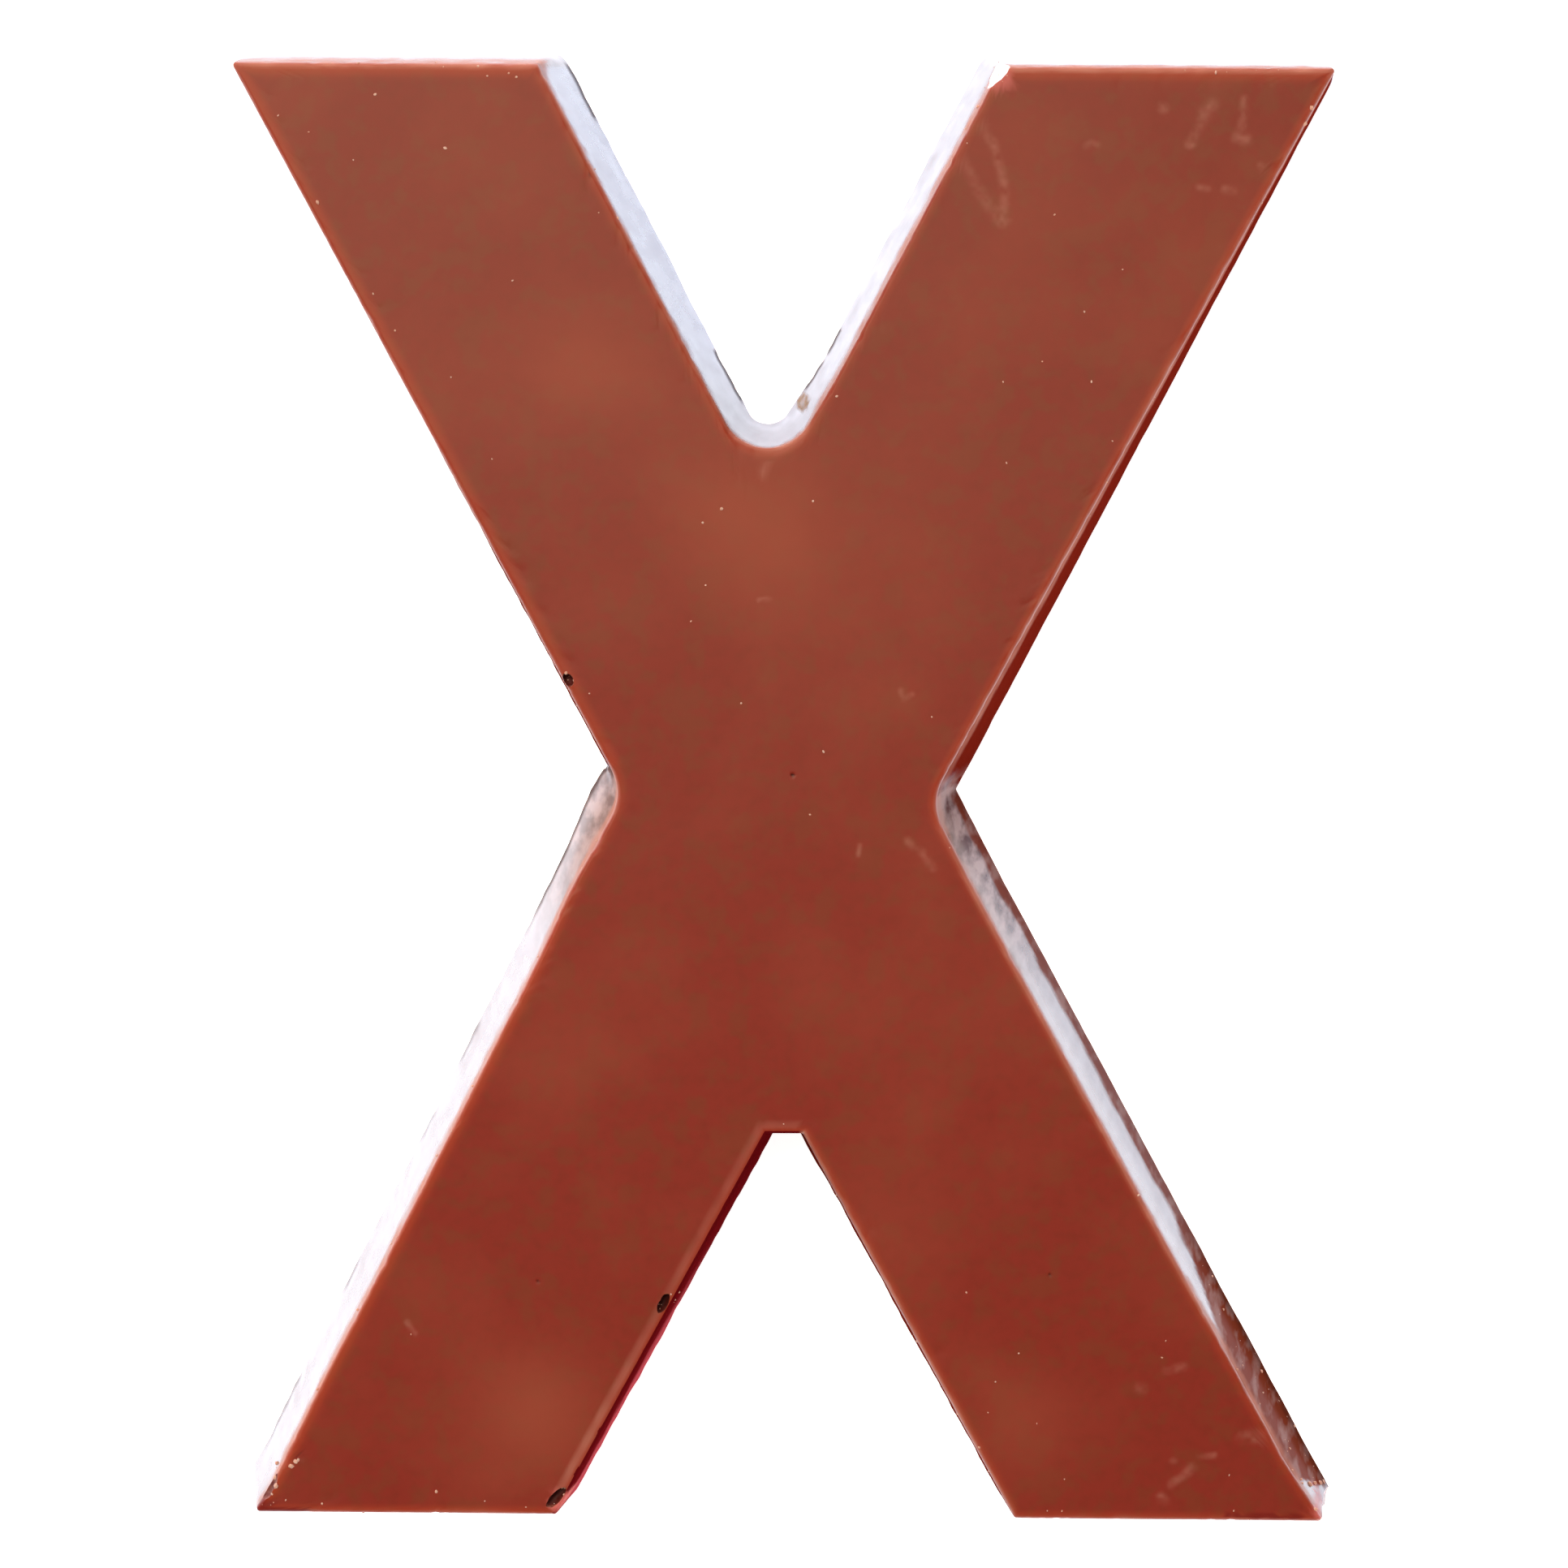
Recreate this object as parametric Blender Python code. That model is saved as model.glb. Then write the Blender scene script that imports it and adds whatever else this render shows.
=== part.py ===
"""A milk chocolate letter X, moulded in one solid piece and lying on its back with its face up.

Metres, +Z up, +Y towards the top of the letter. The origin is under the middle of its bounding box.
"""

import math

import bmesh
import bpy
from mathutils import Matrix, Vector

# Thickness and sides
THICKNESS = 0.0100
DRAFT = 0.0017  # how far the back stands out past the face, so that the mould lets go
EDGE_RADIUS = 0.0008  # rounding between the face and the sides
EDGE_STEPS = 5

# Face outline, as if every corner were sharp
HEIGHT = 0.1176
ARM_SPREAD = 0.0869  # across both arms, outer corner to outer corner
FOOT_SPREAD = 0.0873
LEFT_ARM = 0.0242  # length of each stroke's cut end
RIGHT_ARM = 0.0262
LEFT_FOOT = 0.0247
RIGHT_FOOT = 0.0249
ARM_SLOPE = -0.0105  # the cut ends fall a little to the right
FOOT_SLOPE = -0.0040
LEFT_WAIST = Vector((-0.0129, 0.0012))
RIGHT_WAIST = Vector((0.0117, 0.0003))
UPPER_NOTCH = Vector((-0.0011, 0.0241))
LOWER_NOTCH = Vector((0.0000, -0.0240))  # where the lower notch's sides would meet
LOWER_NOTCH_FLAT = 0.0028  # the notch stops this far short of that point, in a flat

# Roundings of the outline, at the level of the face
END_RADIUS = 0.0005
FLAT_RADIUS = 0.0005
WAIST_RADIUS = 0.0040
UPPER_NOTCH_RADIUS = 0.0040
LEAST_RADIUS = 0.00015
TURN_PER_STEP = math.radians(12)

# Chips knocked out of the edges and corners, each the dent of a blunt lump: the lump's middle,
# measured from the middle of the face, and its half lengths and its turn about Z in degrees
CHIPS = {
    "arm_corner_chip": ((0.0144, 0.0606, 0.0004), (0.00415, 0.00415, 0.00415), 0),
    "left_foot_crumbled_edge": ((-0.0431, -0.0560, 0.0003), (0.0009, 0.0018, 0.0010), -27),
    "left_foot_gouge": ((-0.0188, -0.0577, 0.0001), (0.0009, 0.0005, 0.0009), 35),
    "right_foot_crushed_corner": ((0.0447, -0.0597, 0.0006), (0.0018, 0.0018, 0.0022), 20),
    "lower_notch_nick": ((-0.0100, -0.0410, -0.0002), (0.0004, 0.0009, 0.0008), -28),
    "waist_pit": ((-0.0173, 0.0103, 0.0000), (0.0004, 0.0006, 0.0007), 28),
}

# Finish
MILK_CHOCOLATE = (0.27, 0.047, 0.027, 1.0)
ROUGHNESS = 0.35


def cross(a, b):
    """How far b turns to the left of a, as the area between them."""
    return a.x * b.y - a.y * b.x


def on_top(x):
    """The point at x on the line that ends both arms."""
    return Vector((x, HEIGHT / 2 + ARM_SLOPE * x))


def on_bottom(x):
    """The point at x on the line that ends both feet."""
    return Vector((x, -HEIGHT / 2 + FOOT_SLOPE * x))


def notch_flat_end(foot_corner):
    """Where the lower notch's flat meets the side that runs down to foot_corner."""
    side = foot_corner - LOWER_NOTCH
    return LOWER_NOTCH + side * (LOWER_NOTCH_FLAT / -side.y)


def face_corners():
    """The face's sharp corners with their radii, anticlockwise from the left arm's outer corner."""
    arm = ARM_SPREAD / 2
    foot = FOOT_SPREAD / 2
    left_inner_foot = on_bottom(-foot + LEFT_FOOT)
    right_inner_foot = on_bottom(foot - RIGHT_FOOT)
    return [
        (on_top(-arm), END_RADIUS),
        (LEFT_WAIST, WAIST_RADIUS),
        (on_bottom(-foot), END_RADIUS),
        (left_inner_foot, END_RADIUS),
        (notch_flat_end(left_inner_foot), FLAT_RADIUS),
        (notch_flat_end(right_inner_foot), FLAT_RADIUS),
        (right_inner_foot, END_RADIUS),
        (on_bottom(foot), END_RADIUS),
        (RIGHT_WAIST, WAIST_RADIUS),
        (on_top(arm), END_RADIUS),
        (on_top(arm - RIGHT_ARM), END_RADIUS),
        (UPPER_NOTCH, UPPER_NOTCH_RADIUS),
        (on_top(-arm + LEFT_ARM), END_RADIUS),
    ]


def rounded(corner, before, after, radius):
    """The arc that rounds a corner between the directions before and after it."""
    turn = math.atan2(cross(before, after), before.dot(after))
    start = corner - before * radius * math.tan(abs(turn) / 2)
    left = Vector((-before.y, before.x))
    centre = start + left * math.copysign(radius, turn)
    steps = max(2, round(abs(turn) / TURN_PER_STEP))
    return [
        centre + Matrix.Rotation(turn * step / steps, 2) @ (start - centre)
        for step in range(steps + 1)
    ]


def outline(offset):
    """The letter's outline, moved outwards by offset. A hollow corner tightens as it moves out."""
    corners = face_corners()
    points = []
    for index, (corner, radius) in enumerate(corners):
        before = (corner - corners[index - 1][0]).normalized()
        after = (corners[(index + 1) % len(corners)][0] - corner).normalized()
        turn = cross(before, after)
        # Both edges move out by offset, so their meeting point slides along the corner's bisector.
        moved = corner + (before - after) * (offset / turn)
        grown = radius + (offset if turn > 0 else -offset)
        points += rounded(moved, before, after, max(grown, LEAST_RADIUS))
    return points


def side_profile():
    """Offset and height of each ring, from the back edge up the leaning side and round on to the face."""
    lean = math.atan(DRAFT / THICKNESS)
    inset = EDGE_RADIUS * math.tan((math.pi / 2 - lean) / 2)
    profile = [(DRAFT, 0.0)]
    for step in range(EDGE_STEPS + 1):
        angle = lean + (math.pi / 2 - lean) * step / EDGE_STEPS
        offset = EDGE_RADIUS * math.cos(angle) - inset
        height = THICKNESS - EDGE_RADIUS + EDGE_RADIUS * math.sin(angle)
        profile.append((offset, height))
    return profile


def middle_of(points):
    """The middle of the points' bounding box."""
    xs = [point.x for point in points]
    ys = [point.y for point in points]
    return Vector(((min(xs) + max(xs)) / 2, (min(ys) + max(ys)) / 2))


def letter_body(middle):
    """The drafted slab: one ring of points for each step of the side, with the back and face closed."""
    bm = bmesh.new()
    rings = []
    for offset, height in side_profile():
        places = [point - middle for point in outline(offset)]
        rings.append([bm.verts.new((place.x, place.y, height)) for place in places])
    count = len(rings[0])
    for lower, upper in zip(rings, rings[1:]):
        for index in range(count):
            following = (index + 1) % count
            bm.faces.new((lower[index], lower[following], upper[following], upper[index]))
    bm.faces.new(reversed(rings[0]))
    bm.faces.new(rings[-1])
    bmesh.ops.recalc_face_normals(bm, faces=bm.faces)
    mesh = bpy.data.meshes.new("letter")
    bm.to_mesh(mesh)
    bm.free()
    mesh.shade_smooth()
    mesh.set_sharp_from_angle(angle=math.radians(35))
    return add_object("letter", mesh)


def add_object(name, mesh):
    made = bpy.data.objects.new(name, mesh)
    bpy.context.scene.collection.objects.link(made)
    return made


def chip_away(letter, name, place, half_lengths, turn):
    """Cuts the dent of one blunt lump out of the letter."""
    bm = bmesh.new()
    bmesh.ops.create_icosphere(bm, subdivisions=3, radius=1.0)
    mesh = bpy.data.meshes.new(name)
    bm.to_mesh(mesh)
    bm.free()
    shape = Matrix.Rotation(math.radians(turn), 4, "Z") @ Matrix.Diagonal((*half_lengths, 1.0))
    mesh.transform(Matrix.Translation(place) @ shape)
    lump = add_object(name, mesh)
    lump.hide_render = True
    lump.display_type = "WIRE"
    cut = letter.modifiers.new(name, "BOOLEAN")
    cut.operation = "DIFFERENCE"
    cut.solver = "EXACT"
    cut.object = lump


def milk_chocolate():
    material = bpy.data.materials.new("milk_chocolate")
    material.use_nodes = True
    shader = material.node_tree.nodes["Principled BSDF"]
    shader.inputs["Base Color"].default_value = MILK_CHOCOLATE
    shader.inputs["Roughness"].default_value = ROUGHNESS
    shader.inputs["Metallic"].default_value = 0.0
    return material


def main():
    for old in list(bpy.data.objects):
        bpy.data.objects.remove(old)
    middle = middle_of(outline(DRAFT))
    letter = letter_body(middle)
    letter.data.materials.append(milk_chocolate())
    face_middle = Vector((-middle.x, -middle.y, THICKNESS))
    for name, (place, half_lengths, turn) in CHIPS.items():
        chip_away(letter, name, face_middle + Vector(place), half_lengths, turn)


main()
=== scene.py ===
# %% [markdown]
# # A milk chocolate letter
#
# The real thing is one solid slab of milk chocolate, cast in a letter mould, knocked out of it and laid
# on its back. Its face shone where it touched the floor of the mould, its sides lean so that the mould
# lets go, and the edges carry the small chips and crumbs of a piece that has been handled.
#
# This lesson builds it in the order a maker would think of it: the outline, the sides that grow out of
# it, the face and the back that close it, the damage, the finish, and last the light and the camera.
# All sizes are in millimetres until the mesh is made.

# %% Load the measured model
import math

import bmesh
import bpy
import numpy as np
from mathutils import Matrix, Vector
from mathutils.bvhtree import BVHTree
from mathutils.geometry import delaunay_2d_cdt
from mathutils.kdtree import KDTree


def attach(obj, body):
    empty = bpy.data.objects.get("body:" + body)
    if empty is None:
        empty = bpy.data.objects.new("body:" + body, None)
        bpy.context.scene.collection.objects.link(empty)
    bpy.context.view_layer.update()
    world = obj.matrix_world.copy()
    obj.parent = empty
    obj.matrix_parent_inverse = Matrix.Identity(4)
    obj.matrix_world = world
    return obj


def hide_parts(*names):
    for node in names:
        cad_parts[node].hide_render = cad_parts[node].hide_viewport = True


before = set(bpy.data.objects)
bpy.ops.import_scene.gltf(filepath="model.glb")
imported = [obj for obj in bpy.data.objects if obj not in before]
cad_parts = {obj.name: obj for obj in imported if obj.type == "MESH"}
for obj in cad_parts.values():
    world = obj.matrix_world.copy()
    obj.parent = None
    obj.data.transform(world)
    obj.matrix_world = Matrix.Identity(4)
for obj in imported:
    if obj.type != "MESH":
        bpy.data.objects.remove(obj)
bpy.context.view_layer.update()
MM = 0.001

# %% [markdown]
# ## The outline
#
# The face is a thirteen-cornered outline. It could be traced as a curve, but a handful of named sizes
# gives the same corners and says what they are: how far apart the arms and feet stand, how long each
# cut end is, and where the four notches reach. The sizes are those of the measured model.

# %% Corners of the face, in millimetres
THICKNESS = 10.0
EDGE_RADIUS = 0.4  # crisper than the measured model's 0.8, as in the picture
DRAFT = 1.7
HEIGHT = 117.6
ARM_SPREAD = 86.9
FOOT_SPREAD = 87.3
LEFT_ARM, RIGHT_ARM = 24.2, 26.2
LEFT_FOOT, RIGHT_FOOT = 24.7, 24.9
ARM_SLOPE, FOOT_SLOPE = -0.0105, -0.0040
LEFT_WAIST = (-12.9, 1.2)
RIGHT_WAIST = (11.7, 0.3)
UPPER_NOTCH = (-1.1, 24.1)
LOWER_NOTCH = (0.0, -24.0)
LOWER_NOTCH_FLAT = 2.8
END_RADIUS, WAIST_RADIUS = 0.2, 4.0
LEAST_RADIUS = 0.15
# How fast a corner's radius changes towards the back, as a share of what the draft gives: the waists'
# hollow corners get sharp sooner, and the feet's outer corners stay sharper
CORNER_GROWTH = {
    "left_leg_outer": 2.0,
    "left_foot_end": 0.80,
    "right_leg_outer": 0.3,
    "right_arm_outer": 2.0,
}


def on_top(x):
    return np.array((x, HEIGHT / 2 + ARM_SLOPE * x))


def on_bottom(x):
    return np.array((x, -HEIGHT / 2 + FOOT_SLOPE * x))


def notch_flat_end(foot_corner):
    """Where the lower notch's short flat meets the side that runs down to a foot's inner corner."""
    side = foot_corner - np.array(LOWER_NOTCH)
    return np.array(LOWER_NOTCH) + side * (LOWER_NOTCH_FLAT / -side[1])


left_inner_foot = on_bottom(-FOOT_SPREAD / 2 + LEFT_FOOT)
right_inner_foot = on_bottom(FOOT_SPREAD / 2 - RIGHT_FOOT)

# Each side runs from its own corner to the next, anticlockwise: name, corner, corner radius, and how
# far the back edge stands out past the face at the side's start and end. The mould's draft is the same
# all round; what differs is the lip left where the open back of the mould was scraped level.
SIDES = [
    ("left_arm_outer", on_top(-ARM_SPREAD / 2), END_RADIUS, 1.00, 1.30),
    ("left_leg_outer", np.array(LEFT_WAIST), WAIST_RADIUS, 2.1, 2.1),
    ("left_foot_end", on_bottom(-FOOT_SPREAD / 2), END_RADIUS, 1.7, 1.7),
    ("left_leg_inner", left_inner_foot, END_RADIUS, 1.3, 1.3),
    ("lower_notch_flat", notch_flat_end(left_inner_foot), END_RADIUS, 1.5, 1.5),
    ("right_leg_inner", notch_flat_end(right_inner_foot), END_RADIUS, 1.35, 1.35),
    ("right_foot_end", right_inner_foot, END_RADIUS, 1.7, 1.7),
    ("right_leg_outer", on_bottom(FOOT_SPREAD / 2), END_RADIUS, 1.78, 2.05),
    ("right_arm_outer", np.array(RIGHT_WAIST), WAIST_RADIUS, 2.09, 0.90),
    ("right_arm_end", on_top(ARM_SPREAD / 2), END_RADIUS, 1.7, 1.7),
    ("right_arm_inner", on_top(ARM_SPREAD / 2 - RIGHT_ARM), END_RADIUS, 1.7, 1.7),
    ("left_arm_inner", np.array(UPPER_NOTCH), WAIST_RADIUS, 1.62, 1.80),
    ("left_arm_end", on_top(-ARM_SPREAD / 2 + LEFT_ARM), END_RADIUS, 1.7, 1.7),
]
print(len(SIDES), "sides round the face")

# %% [markdown]
# ## One ring round the letter
#
# Every level of the side is the same outline moved outwards, and every ring has the same number of
# points, so that neighbouring rings can be joined point to point. Moving two sides outwards moves the
# corner between them to where they now cross. Solidify or a curve's bevel would do this for a plain
# slab, but here each side may move by its own amount and a hollow corner has to tighten as it moves.

# %% Rings of points
POINT_SPACING = 0.42
ARC_STEP = math.radians(9)


def unit(v):
    return v / np.linalg.norm(v)


def cross(a, b):
    return a[0] * b[1] - a[1] * b[0]


def turn_between(a, b):
    """The angle from a to b, positive to the left."""
    return math.atan2(cross(a, b), a @ b)


corners = [side[1] for side in SIDES]
radii = [side[2] for side in SIDES]
directions = [unit(corners[(i + 1) % len(corners)] - c) for i, c in enumerate(corners)]
turns = [turn_between(directions[i - 1], d) for i, d in enumerate(directions)]


def steps_round(i):
    """Points round a corner: enough for its turn and for the length of its longest arc."""
    longest = radii[i] + DRAFT
    return max(2, math.ceil(abs(turns[i]) / ARC_STEP), math.ceil(abs(turns[i]) * longest / POINT_SPACING))


arc_steps = [steps_round(i) for i in range(len(SIDES))]
side_cuts = [
    math.ceil(np.linalg.norm(corners[(i + 1) % len(corners)] - c) / POINT_SPACING)
    for i, c in enumerate(corners)
]


def moved_corner(i, before_out, after_out):
    """Where corner i goes when the side before it and the side after it move outwards."""
    before, after = directions[i - 1], directions[i]
    return corners[i] + (before * after_out - after * before_out) / cross(before, after)


def ring(starts, ends, growth=CORNER_GROWTH):
    """The outline with side i moved outwards by starts[i] at its start and ends[i] at its end."""
    moved = [moved_corner(i, ends[i - 1], starts[i]) for i in range(len(SIDES))]
    arcs = []
    for i, corner in enumerate(moved):
        before = unit(corner - moved[i - 1])
        after = unit(moved[(i + 1) % len(moved)] - corner)
        turn = turn_between(before, after)
        rate = growth.get(SIDES[i][0], 1.0)
        grown = radii[i] + math.copysign(rate * (ends[i - 1] + starts[i]) / 2, turn)
        radius = max(grown, LEAST_RADIUS)
        start = corner - before * radius * math.tan(abs(turn) / 2)
        to_centre = np.array((-before[1], before[0])) * math.copysign(radius, turn)
        angles = abs(turn) * np.linspace(0, 1, arc_steps[i] + 1)[:, None]
        arcs.append(start + to_centre * (1 - np.cos(angles)) + before * radius * np.sin(angles))
    points = []
    for i, arc in enumerate(arcs):
        points.append(arc)
        share = np.linspace(0, 1, side_cuts[i] + 1)[1:-1, None]
        points.append(arc[-1] * (1 - share) + arcs[(i + 1) % len(arcs)][0] * share)
    return np.vstack(points)


def even_ring(out):
    return ring([out] * len(SIDES), [out] * len(SIDES))


cad_back = ring([DRAFT] * len(SIDES), [DRAFT] * len(SIDES), growth={})  # the measured model's
middle = (cad_back.min(0) + cad_back.max(0)) / 2
side_of = np.repeat(np.arange(len(SIDES)), np.add(arc_steps, side_cuts))  # each point's side
print("points in a ring:", len(cad_back), " outline's middle:", middle.round(3))

# %% [markdown]
# ## Smooth noise
#
# Chocolate sets a little uneven: the side walls wave, the lip at the back wanders and the edges
# crumble. All of that is smooth noise of a chosen size. A lattice of random numbers, read with
# smoothed steps between its points, gives it for every vertex at once, and a fixed seed makes it the
# same each time.

# %% Noise for many points at once
LATTICE = 32
lattices = np.random.default_rng(7).uniform(-1, 1, (8, LATTICE, LATTICE, LATTICE))


def ripple(points, size, kind):
    """Smooth noise from -1 to 1 at points in mm; size is the length of one wave, kind picks the lattice."""
    table = lattices[kind % len(lattices)]
    at = np.asarray(points, float) / size * 2 + 5.3 * kind
    low = np.floor(at).astype(int)
    blend = at - low
    blend = blend * blend * (3 - 2 * blend)
    total = 0.0
    for corner in range(8):
        bits = np.array([corner >> axis & 1 for axis in range(3)])
        weight = np.prod(np.where(bits, blend, 1 - blend), axis=1)
        cell = (low + bits) % LATTICE
        total = total + weight * table[cell[:, 0], cell[:, 1], cell[:, 2]]
    return total


def fade(value, start, end):
    """0 where value is at start, 1 where it is at end, and smooth between."""
    share = np.clip((value - start) / (end - start), 0, 1)
    return share * share * (3 - 2 * share)


# %% [markdown]
# ## The side, ring by ring
#
# From the back edge the wall rises with the mould's lean, then a quarter round of 0.4 mm rolls over on
# to the face. A Bevel modifier could make the round, but rings placed one by one keep the points even,
# and each ring can carry its own unevenness: more near the back, where the chocolate met the air.

# %% Rings from the back edge to the face
WALL_RINGS = 15
ROUND_RINGS = 9
INNER_RINGS = (0.22, 0.50, 0.85)  # mm in from the round, on the face
BACK_LIP = 0.18  # mm that the back's edge is bevelled
FOOT_END_FULLER = 0.20  # mm that the feet's ends stand out past the measured outline

lean = math.atan(DRAFT / THICKNESS)
inset = EDGE_RADIUS * math.tan((math.pi / 2 - lean) / 2)
shoulder_out = EDGE_RADIUS * math.cos(lean) - inset
shoulder_height = THICKNESS - EDGE_RADIUS + EDGE_RADIUS * math.sin(lean)
back_starts = np.array([side[3] for side in SIDES])
back_ends = np.array([side[4] for side in SIDES])

levels = []
for step in range(WALL_RINGS):
    share = step / (WALL_RINGS - 1)
    starts = back_starts + (shoulder_out - back_starts) * share
    ends = back_ends + (shoulder_out - back_ends) * share
    levels.append((starts, ends, BACK_LIP + (shoulder_height - BACK_LIP) * share))
for step in range(1, ROUND_RINGS):
    angle = lean + (math.pi / 2 - lean) * step / (ROUND_RINGS - 1)
    out = EDGE_RADIUS * math.cos(angle) - inset
    height = THICKNESS - EDGE_RADIUS + EDGE_RADIUS * math.sin(angle)
    levels.append((np.full(len(SIDES), out), np.full(len(SIDES), out), height))
for further in INNER_RINGS:
    out = np.full(len(SIDES), -inset - further)
    levels.append((out, out, THICKNESS))

levels.insert(0, (back_starts - BACK_LIP, back_ends - BACK_LIP, 0.0))
names = [side[0] for side in SIDES]
fuller = np.array([FOOT_END_FULLER if name.endswith("foot_end") else 0.0 for name in names])
rings = np.array(
    [
        np.column_stack([ring(starts + fuller, ends + fuller), np.full(len(cad_back), height)])
        for starts, ends, height in levels
    ]
)
face_line = even_ring(0.0)
along = np.roll(face_line, -1, axis=0) - np.roll(face_line, 1, axis=0)
outward = np.column_stack([along[:, 1], -along[:, 0]]) / np.linalg.norm(along, axis=1)[:, None]
print("rings:", len(rings), " side vertices:", rings.shape[0] * rings.shape[1])

# %% [markdown]
# ## Unevenness of the side
#
# The walls wave by a few hundredths of a millimetre, which is enough to bend a reflection. The last
# millimetres above the back wander more, because the filled mould was scraped with a knife there. A
# Displace modifier could do it, but here the amount has to change with the height and the side.

# %% Wave the walls and the lip at the back
# how far in mm, wave length in mm, how much the height counts, lattice
WALL_WAVES = [(0.03, 9.0, 0.4, 0), (0.012, 2.6, 0.6, 1)]
LIP_WAVES = [(0.11, 6.0, 0.2, 2), (0.05, 1.7, 0.2, 3)]
LIP_REACH = (0.5, 4.5)  # mm above the back, from where to where the lip's waves die away
WALL_REACH = (8.5, 9.6)
STRAIGHTER_SIDES, STRAIGHTER_BY = ["right_leg_outer", "right_arm_outer"], 0.35


def waves(points, kinds):
    return sum(far * ripple(points * (1, 1, tall), length, kind) for far, length, tall, kind in kinds)


levels_z = rings[:, :, 2]
flat = rings.reshape(-1, 3)
near_back = (1 - fade(levels_z, *LIP_REACH)).ravel()
on_wall = (1 - fade(levels_z, *WALL_REACH)).ravel()
push = waves(flat, WALL_WAVES) * on_wall + waves(flat, LIP_WAVES) * near_back
push = push.reshape(levels_z.shape)
straighter = np.isin(side_of, [names.index(name) for name in STRAIGHTER_SIDES])
rings[:, :, :2] += outward[None] * (push * np.where(straighter, STRAIGHTER_BY, 1.0))[:, :, None]
print("largest push of a wall point: %.2f mm" % np.abs(push).max())

# %% [markdown]
# ## Where a side departs from its straight line
#
# A real casting is never quite the drawing: the feet's outer corners spread a little at the face, the
# right leg's side lies slightly further in than the waist, and here and there a wall bulges. Each is a
# small push of the rings, so that the walls stay one smooth surface.

# %% Spread the feet, draw the leg in, bulge the walls
LEG_IN, LEG_IN_FROM = 0.16, (0.0, -8.0)  # mm, and where along the letter it comes in
FLARES = {
    # name: push to the right at the face, and where along the letter it grows, in mm
    "right_foot": (0.50, (-53.5, -58.9)),
    "left_foot": (-0.30, (-56.5, -58.9)),
}
FOOT_CORNERS_FROM = 30.0  # mm to either side of the letter's middle
BULGES = {
    # name: middle in mm, reach, push outwards at the back, push outwards at the face
    "left_waist": ((-14.7, -2.8), 3.6, 0.42, 0.0),
    "below_left_waist": ((-17.1, -7.0), 4.0, 0.0, 0.25),
    "left_leg_low": ((-37.7, -47.0), 5.7, 0.0, 0.10),
    "upper_notch_right": ((1.8, 30.5), 3.2, 0.55, 0.22),
}

line_x, line_y = face_line.T
rings[:, :, 0] -= (side_of == names.index("right_leg_outer")) * fade(line_y, *LEG_IN_FROM) * LEG_IN
towards_face = levels_z / THICKNESS
for spread, grows in FLARES.values():
    on_foot = line_x * np.sign(spread) > FOOT_CORNERS_FROM
    rings[:, :, 0] += spread * fade(line_y, *grows) * on_foot * towards_face
for place, reach, at_back, at_face in BULGES.values():
    bulge = np.exp(-np.sum((face_line - place) ** 2, axis=1) / reach**2)
    rings[:, :, :2] += outward[None] * (bulge * (at_back + (at_face - at_back) * towards_face))[:, :, None]
print("departures:", ", ".join([*FLARES, *BULGES]))

# %% [markdown]
# ## The nibbled edge
#
# The rolled edge is the first to lose a crumb. Where fine noise is high, its points move in and down.

# %% Nibble the rolled edge
# how deep in mm, size in mm, lattice, and between which noise values the crumb is lost
NIBBLES = [(0.10, 1.6, 4, (0.35, 0.85)), (0.05, 0.8, 5, (0.3, 0.9))]
NIBBLED_FROM, NIBBLED_TO = (9.3, 9.6), (10.05, 9.95)  # mm above the back
NIBBLE_SHARE = 0.7  # of the depth, both inwards and down

rolled = fade(flat[:, 2], *NIBBLED_FROM) * fade(flat[:, 2], *NIBBLED_TO)
nibble = sum(fade(ripple(flat, size, kind), *lost) * deep for deep, size, kind, lost in NIBBLES)
nibble = (nibble * rolled).reshape(levels_z.shape)
rings[:, :, :2] -= outward[None] * nibble[:, :, None] * NIBBLE_SHARE
rings[:, :, 2] -= nibble * NIBBLE_SHARE
print("deepest nibble: %.2f mm" % nibble.max())

# %% [markdown]
# ## Scuffs and pits on the face
#
# The face of a piece that has been handled carries faint smears where something rubbed it, and a pit
# where an air bubble sat against the mould. A painted texture could show them, but as lines with a
# width they can also move the surface, and the mesh can be made finer just where they lie.

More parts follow.
